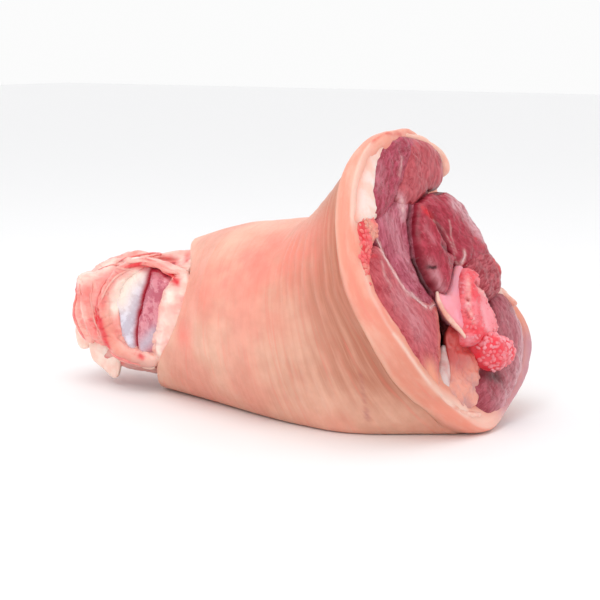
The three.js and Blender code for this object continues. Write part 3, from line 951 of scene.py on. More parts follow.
def sleeve():
    """The rind sleeve, its rolled lip and the fat inside the lip, each corner with its row and its share of a turn"""
    turn = np.arange(SLEEVE_AROUND) / SLEEVE_AROUND
    c, w = np.cos(2 * np.pi * turn), np.sin(2 * np.pi * turn)
    sections = np.array(SLEEVE_SECTIONS, float)
    radii = section_radii(sections, c, w)
    rim = round_list(RIM_RADII, turn)
    radii = np.vstack([radii, rim + round_list(CREASE_OUT, turn)])
    middle = from_cut([0, RIM_MIDDLE, CREASE_AHEAD])
    centres = np.vstack([sections[:, :3], [middle[0], middle[2], CUT_LEAN]])
    t = np.linspace(0, 1, SLEEVE_ROWS)
    outer = section_rings(centres, radii, t, c, w)
    shift = round_list(RIND_EDGE, turn) - SLEEVE_SECTIONS[0][0]
    outer[..., 0] += shift * np.maximum(1 - t / EDGE_SHARE, 0)[:, None]

    spread = round_list(LIP_SPREAD, turn)
    thickness = round_list(LIP_THICKNESS, turn)
    level = round_list(RIM_AHEAD, turn)
    rings = [outer[-2], outer[-1]]
    for out, ahead in LIP_RINGS:
        reach = rim + out * (spread if out > 0 else 1)
        rings.append(from_cut(np.stack(
            [reach * c, RIM_MIDDLE + reach * w, ahead * thickness + level], axis=1
        )))
    ring = np.linspace(1, len(rings) - 1, LIP_ROWS)
    lip = smooth_through(np.array(rings), ring / (len(rings) - 1))

    start = np.array([max(RIND_EDGE), 0, SLEEVE_SECTIONS[0][1]], float)
    inward = start - outer[0]
    inward[:, 0] = 0
    inward /= np.linalg.norm(inward, axis=1, keepdims=True)
    edge = [
        outer[0] + inward * depth + np.array([-bulge, 0, 0])
        for depth, bulge in EDGE_PROFILE
    ]
    rows = np.concatenate([edge, outer, lip[1:]])
    flat = pressed(rows.reshape(-1, 3)).reshape(rows.shape)
    place = np.concatenate([
        np.full(len(edge), -1.0), t * 10, 10 + (ring[1:] - 1)
    ])
    length = np.linalg.norm(np.diff(flat, axis=0), axis=2).mean(axis=1)
    along = np.concatenate([[0], np.cumsum(length)])
    grain = np.stack(np.broadcast_arrays(turn * 300, along[:, None]), axis=-1).reshape(-1, 2)
    grain = np.vstack([grain[:1], grain, grain[-1:]])
    shape = skin(flat, start, from_cut([0, RIM_MIDDLE, BED_LEVEL]), grain)
    row = np.repeat(place, len(turn))
    shape.row = np.concatenate([[-1], row, [place[-1]]])
    shape.turn = np.concatenate([[0], np.tile(turn, len(place)), [0]])
    return shape


# Rings of the rind's cut edge at the knuckle: how far inside, and how far it bulges out
EDGE_PROFILE = [(3.6, -9), (3.6, 0), (3.4, 0.5), (2.6, 0.9), (1.4, 1.1), (0.5, 0.8), (0.1, 0.3)]
# Blotches on the rind: where each is, how wide and how strong
BLUSHES = [
    ((-8, -39, 74), 20, 0.9), ((-55, -36, 35), 8, 0.8), ((25, -45, 84), 16, 0.5), ((-30, -40, 62), 14, 0.4),
    ((67, -52, 63), 7, 0.5), ((-70, -30, 55), 12, 0.5), ((-20, 20, 82), 30, 0.5), ((40, 45, 60), 25, 0.4),
    ((-45, -38, 60), 9, 0.4), ((10, -47, 50), 12, 0.25),
]
SCAR = [(51.5, -45.5, 30), (51.2, -44.2, 26), (50.6, -42, 20), (50, -39, 13), (49.5, -36.7, 8)]
SCAR_END = [(50, -39, 12), (49.6, -37, 8)]
# Lines on the lip, on the cut plane, with widths and strengths: mauve skin, white fat and blood
LIP_MAUVE = [([(58, 29), (55, 24), (48, 18), (39, 12), (29, 7.5), (19, 3.5)], 9, 1.0)]
LIP_WHITE = [
    ([(-24, 136), (-36, 127), (-46, 116), (-54, 104)], 3.5, 0.5),
    ([(-57.5, 84), (-58, 75), (-57, 68), (-54, 60), (-50, 52)], 1.0, 0.3),
    ([(-50, 52), (-45, 44), (-40.5, 35.5), (-35, 27.5)], 1.3, 0.6),
    ([(-37, 25), (-29, 19), (-21, 13.5), (-15, 11)], 4, 0.65),
    ([(-12, 5), (2, 2), (14, 1)], 6, 0.4),
]
LIP_BLOOD = [([(-22, 136.5), (-12, 138.5), (-2, 138.8), (6, 138)], 1.0, 0.7), ([(-3, 139), (4, 138)], 1.6, 0.6)]


def sculpted_sleeve(s):
    """The sleeve with its wrinkles, dimples and slack folds"""
    shape = sleeve()
    p, row, turn = shape.corners, shape.row, shape.turn
    skin_part = (row >= 0) & (row < 15)
    neck = fade(row, 5.5, 8.5) * (1 - fade(row, 10.4, 11.4))
    waves = np.sin(row * 17 + 2.6 * noise(p, 26, 3) + 1.2 * noise(p, 9, 4))
    wrinkles = neck * waves * fade(noise(p, 22, 5), -0.35, 0.25)
    slack = 0.8 * noise(p, 34, 1) + 0.3 * noise(p, 13, 2) + 0.08 * noise(p, 3.2, 6)
    lumpy = fade(row, 12, 14) * (0.5 * rough(p, 9, 3, 71))
    near_side = fade(turn, 0.2, 0.3) * (1 - fade(turn, 0.66, 0.76))
    crease = np.exp(-((row - 10.2) / 0.55) ** 2)
    relief = skin_part * (s.wrinkles * wrinkles + slack) - 1.5 * crease * near_side + lumpy
    shape.swell(relief * fade(p[:, 2], 0.5, 8))
    blush = sum(
        strength * np.exp(-(np.linalg.norm(p - np.array(at), axis=1) / width) ** 2)
        for at, width, strength in BLUSHES
    )
    # Painted shade: darker over the neck and crease behind the lip, less so near the floor, on the underside towards
    # the knuckle, and on the lower lip
    neck_shade = (0.35 * fade(row, 5, 7.5) + 0.65 * fade(row, 7.8, 9.8)) * (1 - fade(row, 10.6, 11.5))
    neck_shade *= 0.3 + 0.8 * fade(p[:, 2], 8, 30)
    under = (1 - fade(p[:, 2], 4, 44)) * (1 - fade(p[:, 0], 0, 40)) * (row < 11)
    low_lip_shade = fade(row, 11, 12) * fade(p[:, 2], 12, 22) * (1 - fade(p[:, 2], 34, 58))
    seen = seen_at(p)
    ahead = fade(row, 13, 13.6)
    marks = {
        "lip": fade(row, 11, 12),
        "fat": near_paths(seen, LIP_WHITE) * ahead,
        "mauve": near_paths(seen, LIP_MAUVE) * fade(row, 10.6, 11.4),
        "blood": near_paths(seen, LIP_BLOOD) * ahead * fade(rough(p, 5, 2, 72), -0.5, 0.3),
        # the painted shade, as a mark
        "shade": np.clip(
            neck_shade * (0.55 + 0.45 * near_side) * (1 - 0.25 * wrinkles) + 0.4 * under + 0.35 * low_lip_shade, 0, 1
        ),
        "blush": np.clip(blush, 0, 1),
        "scar": near_paths(p, [(SCAR, 0.6, 0.5), (SCAR_END, 1.1, 0.9)]) * fade(rough(p, 6, 2, 8), -1.6, -0.3),
    }
    return shape, marks


# The far side of the lip, which folds round the upper muscles: across, up, ahead, half width and thickness
FAR_LIP = [
    (6, 139, -4, 2, 3), (21, 136, -4, 3, 3), (31.5, 131, -4, 3, 3), (36.5, 127.5, -4, 3, 3),
    (38, 124, -4, 3, 3), (37, 120.5, -4, 3, 3), (34, 117.5, -5, 2, 2.5),
]


# Muscles of the cut end: outline on the cut plane, the path of its fibres, then the level of its edge, how
# high it rises inside, the width of its shoulder and how lumpy it is
MUSCLES = {
    "bed_muscle": (
        [(10, 128), (-20, 124), (-38, 104), (-50, 80), (-46, 50), (-30, 22), (0, 12), (30, 16), (46, 32),
         (48, 52), (32, 70), (30, 96), (20, 120)],
        [(0, 130), (-10, 80), (10, 20)], (-12, 3, 6, 0.5),
    ),
    "top_outer_muscle": (
        [(7, 138), (-4, 137.5), (-13, 135), (-19.5, 131.5), (-25, 127.5), (-30, 121.5), (-34, 115), (-36.5, 108.5),
         (-39, 104), (-33, 101), (-25, 103.5), (-17.5, 108), (-9.5, 113.5), (-1, 119.5), (6.5, 125.5), (13, 131),
         (14.5, 135.5)],
        [(4, 136), (-12, 126), (-26, 113), (-36, 102)], (-2.5, 4, 6, 0.8),
    ),
    "top_inner_muscle": (
        [(5, 135), (12, 137), (22, 135), (28.5, 132), (32, 128), (33, 123.5), (31, 119), (28, 115), (22.5, 111.5),
         (15, 110.5), (11, 108.5), (3.5, 105.5), (-4, 104), (-13.5, 106), (-16.5, 109.5), (-13, 115.5), (-6, 122.5),
         (0, 129)],
        [(16, 136), (12, 122), (-4, 106)], (-2.5, 4.5, 8, 0.8),
    ),
    "middle_muscle": (
        [(-35.5, 103), (-25.5, 108), (-16.5, 110), (-8, 109), (4, 106), (5, 96), (3, 87), (2, 79), (3, 72),
         (4, 65.5), (2, 58.5), (-9, 57), (-18, 59), (-25.5, 63), (-31, 67.5), (-32.5, 75), (-35, 82), (-38, 87.5),
         (-40, 93.5), (-40.5, 99)],
        [(-8, 114), (-22, 98), (-24, 84), (-14, 68), (-2, 54)], (-3.5, 4, 6, 0.8),
    ),
    "lower_muscle": (
        [(-51.5, 84.5), (-46, 90), (-39.5, 91), (-35.5, 86), (-32, 77.5), (-30, 72), (-27.5, 67.5), (-22, 64),
         (-13.5, 61.5), (-7.5, 59.5), (-9, 53.5), (-11.5, 47.5), (-15, 42), (-19, 36.5), (-22.5, 32), (-26, 26),
         (-29, 20.5), (-32, 25), (-37, 32.5), (-42, 41), (-46, 50), (-49.5, 58), (-53, 64.5), (-54.5, 71),
         (-54.5, 77.5)],
        [(-46, 88), (-40, 70), (-28, 50), (-24, 28)], (-3.5, 5, 8, 0.9),
    ),
    "foot_muscle": (
        [(1, 6.5), (-5, 13), (-4, 22), (5, 29.5), (13.5, 38), (23.5, 48.5), (30, 57), (38, 60.5), (46, 60.5),
         (52, 56), (56, 50.5), (58, 44), (57.5, 37), (54.5, 30), (49.5, 23), (43, 17), (35, 12), (26, 7),
         (17.5, 4), (8, 4)],
        [(44, 62), (48, 42), (34, 22), (4, 8)], (-5, 7, 12, 0.9),
    ),
    "back_muscle": (
        [(-3, 104), (0, 100), (3, 94), (7, 86), (10, 79), (14, 73), (22, 71), (33, 71.5), (40, 73), (41, 80),
         (39.5, 87.5), (36, 95), (31.5, 102), (26, 107), (19, 109.5), (10, 109.5), (3, 107.5)],
        [(6, 108), (16, 92), (34, 74)], (0, 7, 11, 1.2),
    ),
    "grainy_muscle": (
        [(16, 75), (21, 81), (29, 85.5), (37, 87), (41, 80), (43, 75), (46.5, 71), (47, 66.5), (44.5, 61.5),
         (38, 57), (30, 55.5), (24, 57), (20, 62), (15.5, 69)],
        [(14, 64), (26, 72), (42, 76)], (0, 6, 9, 1.2),
    ),
    "fold_muscle": (
        [(-3, 106), (-6.5, 102.5), (-10.5, 96.5), (-14, 90.5), (-15.5, 85), (-15.5, 79), (-14.5, 73.5), (-12, 68),
         (-9, 64), (-5, 63.5), (-1, 67.5), (3.5, 73), (6, 77.5), (4.5, 84), (1.5, 91), (-1, 97), (-1, 103)],
        [(-2, 106), (-6, 90), (-6, 76), (-7, 64)], (1, 8, 11, 1.2),
    ),
}

# How fibrous each kind of muscle looks
FIBROUS = {
    "outer": 0.9, "inner": 0.45, "middle": 0.8, "lower": 0.35, "foot": 0.45, "back": 0.5, "grainy": 0.9,
}

# Lines on the cut end, placed where the lines of sight meet its plane: a path, how wide and how strong.
# White skins between the muscles,
CUT_FASCIA = [
    ([(-41, 96.5), (-39.5, 90), (-38.5, 83.5), (-36, 78), (-33, 72), (-30, 67.5), (-25, 64.5), (-20.5, 60)], 1.0, 1.0),
    ([(-55, 82), (-55.5, 75), (-54.5, 68), (-51.5, 60), (-47.5, 52), (-42.5, 44), (-38, 35.5)], 0.9, 0.5),
    ([(-2, 127.5), (-4, 124), (-9, 119.5)], 0.8, 0.5),
    ([(7, 97), (12.5, 92), (15.5, 83.5), (15, 76.5), (18, 74.5)], 0.5, 0.6),
    # a painted highlight where the middle muscle meets the upper ones
    ([(-12.5, 108), (-13.5, 104)], 1.3, 0.6),
    ([(23.5, 80.5), (22, 77.5), (17.5, 75)], 1.0, 0.8),
    ([(19, 95.5), (18, 90.5), (17, 86), (17.5, 80.5)], 0.6, 0.5),
    ([(-27, 67), (-24.5, 64), (-21, 60)], 0.7, 0.9),
    ([(-17.5, 59), (-11, 60.5)], 1.0, 0.9),
    ([(-42.5, 83), (-43.5, 77.5), (-41.5, 72.5)], 0.9, 0.4),
]
# greyish sheen where a thin skin lies on the meat, in places a painted highlight,
CUT_SHEEN = [
    ([(27, 103), (33, 99), (36.5, 94.5), (39, 89.5), (41, 86)], 3.6, 1.0),
    # a painted highlight where the middle muscle meets the upper ones
    ([(-12.5, 109), (-13.5, 105), (-15, 101)], 3.2, 1.0),
    ([(-26, 100), (-25, 88), (-18, 74)], 5, 0.4),
    ([(-36, 66), (-30, 52)], 7, 0.4),
    ([(57, 45), (53, 32), (44, 21), (30, 11), (18, 6)], 6.5, 1.0),
    ([(45, 46), (40, 34), (28, 20)], 6, 0.3),
    ([(-6, 76), (-5, 71), (-4, 66)], 4, 0.65),
    ([(-1, 94), (1, 88)], 2, 0.3),
    ([(-28, 118), (-22, 124)], 5, 0.3),
]
# clefts, sunk and darkened with painted shade,
CUT_CLEFTS = [
    ([(-6.5, 105), (-10, 100), (-13.5, 93.5), (-16, 88), (-17, 82), (-16, 76), (-14.5, 70), (-11.5, 65),
      (-8.5, 60)], 1.6, 0.7),
    ([(-16.5, 81), (-15, 73), (-12, 66)], 2.2, 1.0),
    ([(22.5, 109.5), (17.5, 109.5), (12, 110.5)], 1.0, 0.8),
    ([(12, 110.5), (5.5, 108), (-1, 105.5)], 1.0, 0.45),
    ([(-9, 77), (-6, 76), (-3, 76)], 0.8, 0.9),
    ([(7, 85), (9, 83), (12, 81.5)], 1.3, 0.6),
    ([(-7, 57), (-7.5, 50), (-9.5, 44), (-13, 38)], 3.6, 1.0),
    ([(6, 25), (12, 24), (20.5, 21.5)], 3.5, 0.7),
    ([(31, 57.5), (33, 50), (31, 44)], 2.2, 0.7),
    ([(8, 96), (11, 88)], 2.5, 0.35),
]
# bright blood
CUT_BLOOD = [
    ([(1, 103), (4, 101), (6, 98.5), (7, 95.5)], 1.8, 0.85),
    ([(45.5, 73), (48, 71), (50, 67.5), (49.5, 65.5)], 1.6, 0.9),
    ([(35, 84.5), (38, 83), (40.5, 81.5)], 1.6, 0.6),
    ([(-51.5, 84), (-48, 86.5), (-43, 86.5)], 1.2, 0.5),
]
# and the peach-coloured end of the lower muscle
CUT_PEACH = [([(-31, 33), (-31, 26.5), (-30, 20)], 5, 0.9), ([(-12, 60), (-14, 50), (-22, 36)], 2, 0.35)]

# Pieces of bone, fat and sinew, outlined in the same way
RIDGE = [
    (14, 73), (9, 70), (4, 64), (1.5, 57), (-0.5, 50), (-2.5, 43), (-1, 39), (8, 37.5), (18, 38), (23, 41),
    (23.5, 46.5), (23, 53.5), (21, 60), (20.5, 66), (18, 71),
]
KNOB = [
    (9, 43.5), (5, 41), (4.5, 36), (6, 31), (9, 27), (14, 24.5), (20.5, 24), (27, 26), (30, 29.5), (29.5, 34),
    (27, 38), (21.5, 41), (15, 43.5),
]
RIDGE_HOLES = [([(25, 65.5), (28, 63)], 1.2, 1.0), ([(14, 58.5), (13, 59)], 0.9, 1.0), ([(9.5, 53.5), (10, 51)], 0.8, 0.8)]
RIDGE_RED = [
    ([(20, 62), (22.5, 56), (20, 50)], 4.5, 1.0), ([(31, 57), (32.5, 50)], 2.4, 0.9), ([(8, 47), (14, 43), (24, 41)], 4, 0.9),
    ([(14, 70), (22, 70)], 4, 0.5),
]
RIDGE_LINE = [([(14.5, 71), (10, 64), (7.5, 57.5), (5.5, 50.5), (4, 43)], 0.8, 0.6)]
RIDGE_SMOOTH = [([(25.5, 53.5), (24.5, 48.5), (25, 44)], 4.5, 1.0)]
RIDGE_CREAM = [([(19.5, 67.5), (15.5, 62), (12.5, 55.5), (12, 49)], 1.6, 0.5), ([(29, 59), (26, 62)], 1.5, 0.5)]
TONGUE = [
    (3.5, 53), (-2, 50), (-8, 46), (-11, 40), (-12.5, 33), (-15.5, 27), (-20, 22.5), (-21.5, 17.5),
    (-17, 13.5), (-10.5, 11.5), (-3, 12.5), (3, 14), (7, 16.5), (5, 19.5), (8.5, 22), (7, 24.5), (11, 26.5),
    (8, 30), (6, 36), (4.5, 43), (5, 50),
]
PERIOSTEUM = [
    (13, 75), (7.5, 70.5), (2, 66), (-4, 63.5), (-9.5, 64.5), (-11, 61), (-9.5, 56), (-6.5, 51), (-2.5, 46),
    (0, 41), (3, 42), (5, 49), (6.5, 55), (8.5, 61.5), (13, 67.5), (16, 73),
]
ROLLED_EDGE = [
    (-9.5, 65.5, 1.5, 0.8, 0.8), (-11.5, 61, 2, 1.2, 1.1), (-10.3, 55.5, 2.4, 1.3, 1.2), (-7.5, 50.5, 2.8, 1.3, 1.2),
    (-3.5, 45.5, 3.2, 1.1, 1.1), (-1, 40.5, 3.5, 0.9, 0.9),
]
TENDON = [
    (-9.5, 42), (-7.5, 37), (-8, 31), (-11.5, 25), (-15.5, 18), (-21, 16.5), (-27, 21), (-24, 27),
    (-19, 32.5), (-14, 38),
]
FAR_FAT = [(38, 62), (44, 62.5), (50, 60), (55, 55), (57.5, 50), (53, 50.5), (48, 54.5), (42, 58)]
BLOOD_FAT = [
    (-46.5, 105), (-39.5, 104), (-34.5, 101), (-35.5, 96.5), (-42, 91.5), (-46.5, 87.5), (-50.5, 82.5),
    (-53.5, 77.5), (-55, 71), (-58.5, 74), (-59.5, 79.5), (-59, 85.5), (-57, 91.5), (-55, 97), (-51.5, 102),
]
BLOOD_CORE = [([(-47, 103), (-50.5, 95), (-52.5, 86), (-54.5, 77)], 4.2, 1.0), ([(-55, 80), (-55, 66), (-52, 60)], 1.5, 0.7)]
WHITE_BAND = [
    (-14, 136.5), (-26.5, 131.5), (-34, 126), (-39.5, 121), (-44.5, 114.5), (-48.5, 109), (-53, 102.5),
    (-46, 101), (-36, 102), (-31.5, 105.5), (-29.5, 111), (-26, 117.5), (-21, 124), (-13.5, 130),
    (-8, 133.5),
]
# where the band runs out into the lip
BAND_OUTER_EDGE = [([(-12, 138.5), (-24, 134.5), (-32, 129), (-39, 124), (-44.5, 118), (-49.5, 111.5), (-54, 103)], 4.5, 1.0)]
TIP_FAT = [
    (-31, 24), (-26, 20), (-21.5, 16.5), (-16.5, 13), (-10, 11), (-2, 8.5), (-5, 6.6), (-13, 8.2),
    (-20, 12.4), (-26, 17.4), (-30.5, 22.8),
]
# Strands of white skin laid over the cut end, with how thick they are
CUT_STRANDS = [
    ([(-41, 97), (-39.5, 90), (-38.5, 83.5), (-36, 78)], 0.25),
    ([(-30, 67), (-26, 64.5), (-21, 60)], 0.2), ([(-28, 68), (-24, 63), (-20.5, 60)], 0.2),
    ([(-18, 59), (-11, 60.5)], 0.3), ([(-20, 61), (-14, 59)], 0.2),
    ([(23.5, 80.5), (22, 77.5), (17.5, 75)], 0.3),
]


def flow_of(shape):
    """Places across and along the grain, as points for noise"""
    return np.column_stack([shape.grain, np.zeros(len(shape.grain))])


def sculpt_meat(shape, lumps, fibrous, share, seed):
    """Fibre bundles and lumps, clefts and skins on a muscle, with the marks of its colours and of the shade painted
    into its clefts
    """
    flow, p = flow_of(shape), shape.corners
    bundles = 0.3 * noise(flow, np.array([2.2, 7, 9]), seed) + 0.18 * noise(flow, np.array([1.3, 3, 9]), seed + 1)
    bundles *= fibrous
    uneven = 0.9 * rough(p, 11, 3, seed + 2) + 0.25 * noise(p, 2.4, seed + 4)
    seen = seen_at(p)
    fascia = near_paths(seen, CUT_FASCIA)
    clefts = near_paths(seen, CUT_CLEFTS)
    blood = near_paths(seen, CUT_BLOOD)
    shape.swell(share * (lumps * (bundles + uneven) + 0.3 * fascia - 1.6 * clefts + 0.5 * blood))
    torn = fade(rough(p, 3.5, 3, seed + 5), -0.55, 0.15)
    return {
        "pale": fascia * (0.55 + 0.45 * torn),
        "sheen": near_paths(seen, CUT_SHEEN),
        "gap_shade": clefts,
        "blood": blood * torn,
        "peach": near_paths(seen, CUT_PEACH),
    }


def lumpy(shape, height, size, seed):
    """Uneven lumps on a cushion's upper side"""
    share = np.where(shape.top, fade(shape.depth, 0, 1.5), 0)
    return shape.swell(share * height * rough(shape.corners, size, 3, seed))


def above_cut(path):
    """Points on the lines of sight through a path on the cut plane, well ahead of it"""
    return from_cut(np.column_stack([path, np.zeros(len(path))]) + 60 * SIGHT)


def above_leg(path):
    """Points well out of the near side of the leg, beside a path along and up it"""
    return on_leg(np.column_stack([path, np.full(len(path), 80.0)]))


def muscle(name, entry, fibrous, relief, paint):
    outline, grain, (edge, crown, shoulder, lumps) = entry
    root = TOP_ROOT_LEVEL if name.startswith("top_") else ROOT_LEVEL
    shape = belly(outline, edge, crown, shoulder, grain, spacing=0.55, root=root, tuck=0.08)
    share = np.where(shape.top, relief * fade(shape.depth, 0, 1.5), 0)
    marks = sculpt_meat(shape, lumps, fibrous, share, len(name))
    # Painted shade: each muscle darker along the edge of its top and on its hidden sides, and the bed behind the
    # muscles dark all over
    sides = np.where(shape.top, 0.35 * np.exp(-(shape.depth / 0.8) ** 2), 0.8)
    marks["gap_shade"] = np.maximum(marks["gap_shade"], sides * (1 - marks["pale"]) * (1 - marks["peach"]))
    if name == "bed_muscle":
        marks["gap_shade"] = 1.0
    put(name, shape, paint, marks)
    return shape


def near_paths(points, lines):
    """How strongly each point is marked by paths: each a list of places, a width and a strength"""
    total = np.zeros(len(points))
    for path, width, strength in lines:
        gap = gap_to(points, path_through(path, 1.5) if len(path) > 2 else np.array(path, float))
        total = np.maximum(total, strength * np.exp(-(gap / width) ** 2))
    return total


def knuckle():
    """The skinned knuckle with its sinew bands, folds and the window to the joint"""
    turn = np.arange(120) / 120
    c, w = np.cos(2 * np.pi * turn), np.sin(2 * np.pi * turn)
    sections = np.array(KNUCKLE_SECTIONS, float)
    rings = section_rings(sections[:, :3], section_radii(sections, c, w), np.linspace(0, 1, 60), c, w)
    body = skin(rings, *np.array(KNUCKLE_ENDS, float))
    bands = [leg_lobe(points, around=40, steps=60) for points in KNUCKLE_LOBES.values()]
    window = np.array(JOINT_WINDOW, float)
    pit = belly(window, 38, 1, 2, JOINT_SLIT, spacing=1.5, root=WINDOW_DEPTH, place=on_leg)
    shape = fused([body, *bands], 0.62, [pit], smoothing=5)
    p = shape.corners
    angle = np.arctan2(p[:, 2] - 36, p[:, 1])
    shape.grain = np.stack([angle * 27, p[:, 0]], axis=1)
    along_leg = np.array([16, 5, 5])
    folds = 0.8 * noise(p, along_leg, 41) + 0.4 * rough(p, along_leg / 2, 2, 42) + 0.3 * noise(p, 4, 44)
    creases = np.abs(noise(p, np.array([11, 4, 4]), 46))
    shape.swell(folds - 0.7 * np.exp(-(creases / 0.07) ** 2) * fade(rough(p, 14, 2, 47), -0.2, 0.4))
    p = shape.corners
    near = p[:, [0, 2]]
    near_side = fade(-p[:, 1], 2, 10)
    blotch = fade(rough(p, 9, 3, 45), -0.5, 0.5)
    blood = near_paths(near, BLOOD_LINES) * near_side
    elsewhere = 0.2 * fade(rough(p, 14, 2, 48), 0.1, 0.7) * (1 - near_side)
    border = path_through(window, 2, closed=True)
    marks = {
        "blood": np.clip(np.maximum(blood, elsewhere), 0, 1),
        "fat": np.clip(near_paths(near, FAT_PATCHES) * (0.6 + 0.8 * blotch), 0, 1) * near_side,
        "band": near_paths(near, [(ORANGE_BAND, 4, 1)]) * near_side,
        # painted shade inside the joint's opening, where it lies back from the near side
        "gap_shade": inside(near, border) * fade(p[:, 1], -25, -21.5) * near_side,
        # painted shade on the lower part, towards the floor
        "under": 1 - fade(p[:, 2], 9, 22),
    }
    return shape, marks


def bone_paint(s):
    """Sawn spongy bone: pink and cream, with red marrow in its pores"""
    p = Paint("spongy_bone")
    broad = p.noise(p.place, 170, 4, 0.6)
    fine = p.noise(p.place, 900, 3, 0.6)
    tone = p.mix(p.fade(broad, 0.38, 0.62), s.bone, s.pale_bone)
    tone = p.mix(p.mark("red"), tone, s.red_bone)
    tone = p.mix(p.mark("cream") * p.fade(broad, 0.3, 0.6, 0.4, 1.0), tone, s.cream)
    tone = p.mix(p.mark("smooth"), tone, s.pale_bone)
    tone = p.mix(p.mark("pores"), tone, s.marrow)
    tone = p.mix(p.fade(fine, 0.62, 0.72, 0.0, 0.5), tone, s.marrow)
    normal = p.bump(fine, 0.4, 0.0006)
    roughness = p.fade(fine, 0.3, 0.7, 0.3, 0.5)
    return p.finish(
        tone, roughness, normal, Subsurface_Weight=0.2, Subsurface_Radius=(1.0, 0.3, 0.3),
        Subsurface_Scale=0.002, Specular_IOR_Level=0.5, Coat_Weight=0.4, Coat_Roughness=0.15,
    )


def knuckle_paint(s):
    """Pink skinned sinew with cream fat, orange bands and streaks of blood, with painted shade on its lower part and
    inside the joint's opening
    """
    p = Paint("knuckle_sinew")
    streaks = p.noise(p.stretched(p.place, (110, 260, 260)), 1, 4, 0.6, 0.6)
    broad = p.noise(p.place, 75, 3)
    fine = p.noise(p.stretched(p.place, (300, 800, 800)), 1, 3)
    tone = p.mix(p.fade(broad, 0.36, 0.62), s.sinew, s.pale_sinew)
    tone = p.mix(p.fade(streaks, 0.5, 0.72, 0.0, 0.7), tone, s.rose)
    tone = p.mix(p.mark("band") * 0.6, tone, s.band)
    tone = p.mix(p.mark("fat"), tone, s.cream)
    # Painted shade on the lower part of the knuckle
    tone = p.mix(p.mark("under") * 0.7, tone, s.underside_shade)
    tone = p.mix(p.mark("blood") * p.fade(streaks, 0.3, 0.6, 0.8, 1.0), tone, s.blood)
    # Painted shade inside the joint's opening
    tone = p.mix(p.mark("gap_shade"), tone, s.joint_shade)
    normal = p.bump(fine * 0.5 + streaks * 0.8, 0.3, 0.0008)
    roughness = p.fade(streaks, 0.3, 0.7, 0.3, 0.45)
    return p.finish(
        tone, roughness, normal, Subsurface_Weight=0.25, Subsurface_Radius=(1.0, 0.4, 0.3),
        Subsurface_Scale=0.003, Specular_IOR_Level=0.5, Coat_Weight=0.35, Coat_Roughness=0.2,
    )


def cartilage_paint(name, s, main, mottle, second):
    """Smooth wet cartilage, dark red where the joint's slit runs"""
    p = Paint(name)
    broad = p.fade(p.noise(p.place, 190, 5, 0.65), 0.44, 0.58)
    tone = p.mix(broad * 0.8, main, mottle)
    tone = p.mix(p.mark("second"), tone, second)
    tone = p.mix(p.mark("slit"), tone, s.joint_shade)
    grain = p.noise(p.place, 300, 3)
    normal = p.bump(grain, 0.12, 0.0005)
    roughness = p.fade(grain, 0.3, 0.7, 0.2, 0.32)
    return p.finish(
        tone, roughness, normal, Subsurface_Weight=0.2, Subsurface_Radius=(0.7, 0.6, 0.7),
        Subsurface_Scale=0.002, Specular_IOR_Level=0.5, Coat_Weight=0.6, Coat_Roughness=0.08,
    )


# Settings

def shade(name, description, red, green, blue):
    return FloatVectorProperty(
        name=name, description=description, subtype="COLOR", size=3, min=0, max=1,
        default=srgb(red, green, blue),
    )


class RindSettings(bpy.types.PropertyGroup):
    """Colours of the rind"""
    colour: shade("Skin", "Pink skin", 238, 164, 144)
    pale: shade("Pale skin", "Paler skin between the pink", 242, 192, 168)
    blush: shade("Blotches", "Pink blotches where blood shows through", 244, 130, 116)
    # Also the colour of the painted shade in the crease, on the underside and on the lower lip
    tan: shade("Tan", "Greyish tan of the crease and the underside", 186, 116, 90)
    lip: shade("Lip", "Rolled lip of the rind", 240, 152, 130)
    pale_lip: shade("Pale lip", "Pale patches on the lip", 250, 204, 184)
    fat: shade("Fat", "White fat inside the lip", 250, 226, 212)
    scar: shade("Scratch", "Purple-red scratch", 168, 84, 92)
    mauve: shade("Mauve lip", "Greyish mauve skin inside the lip", 198, 138, 150)
    blood: shade("Blood", "Blood inside the lip", 214, 60, 60)
    wrinkles: FloatProperty(name="Wrinkles", description="Height of the neck's wrinkles, in mm", default=0.28, min=0)


class MeatSettings(bpy.types.PropertyGroup):
    """Colours and fibres of the muscles"""
    outer_dark: shade("Outer muscle", "Dark of the upper muscle beside the fat", 142, 16, 44)
    outer_light: shade("Outer fibres", "Light of the upper muscle beside the fat", 206, 88, 114)
    inner_dark: shade("Inner muscle", "Dark of the upper muscle on the right", 148, 18, 38)
    inner_light: shade("Inner fibres", "Light of the upper muscle on the right", 222, 110, 118)
    middle_dark: shade("Middle muscle", "Dark of the muscle in the middle", 146, 26, 54)
    middle_light: shade("Middle fibres", "Light of the muscle in the middle", 220, 122, 144)
    lower_dark: shade("Lower muscle", "Dark of the lower muscle", 156, 26, 44)
    lower_light: shade("Lower fibres", "Light of the lower muscle", 226, 112, 120)
    foot_dark: shade("Foot muscle", "Dark of the muscle under the bone", 130, 18, 38)
    foot_light: shade("Foot fibres", "Light of the muscle under the bone", 204, 104, 120)
    back_dark: shade("Folded muscle", "Dark of the folded muscles", 136, 0, 30)
    back_light: shade("Folded fibres", "Light of the folded muscles", 206, 72, 94)
    grainy_dark: shade("Grainy muscle", "Dark of the grainy muscle", 140, 14, 36)
    grainy_light: shade("Grainy fibres", "Light of the grainy muscle", 214, 108, 118)
    # Also the colour of the painted glints on the meat
    fascia: shade("Fascia", "Pale skin over the meat", 242, 200, 196)
    # Also the colour of painted highlights on the meat
    sheen: shade("Sheen", "Greyish mauve skin over the meat", 216, 160, 168)
    blood: shade("Blood", "Bright blood on the meat", 214, 30, 42)
    peach: shade("Peach", "Peach-coloured end of the lower muscle", 238, 160, 132)
    # The colour of the painted shade in the clefts, along the muscles' edges and over the bed behind them
    gap_shade: shade("Deep", "Dark red in the gaps", 56, 2, 6)
    fibre_scale: FloatProperty(name="Fibre scale", description="More and finer fibres", default=1.0, min=0.1)
    relief: FloatProperty(name="Relief", description="How uneven the cut muscles are", default=1.0, min=0)


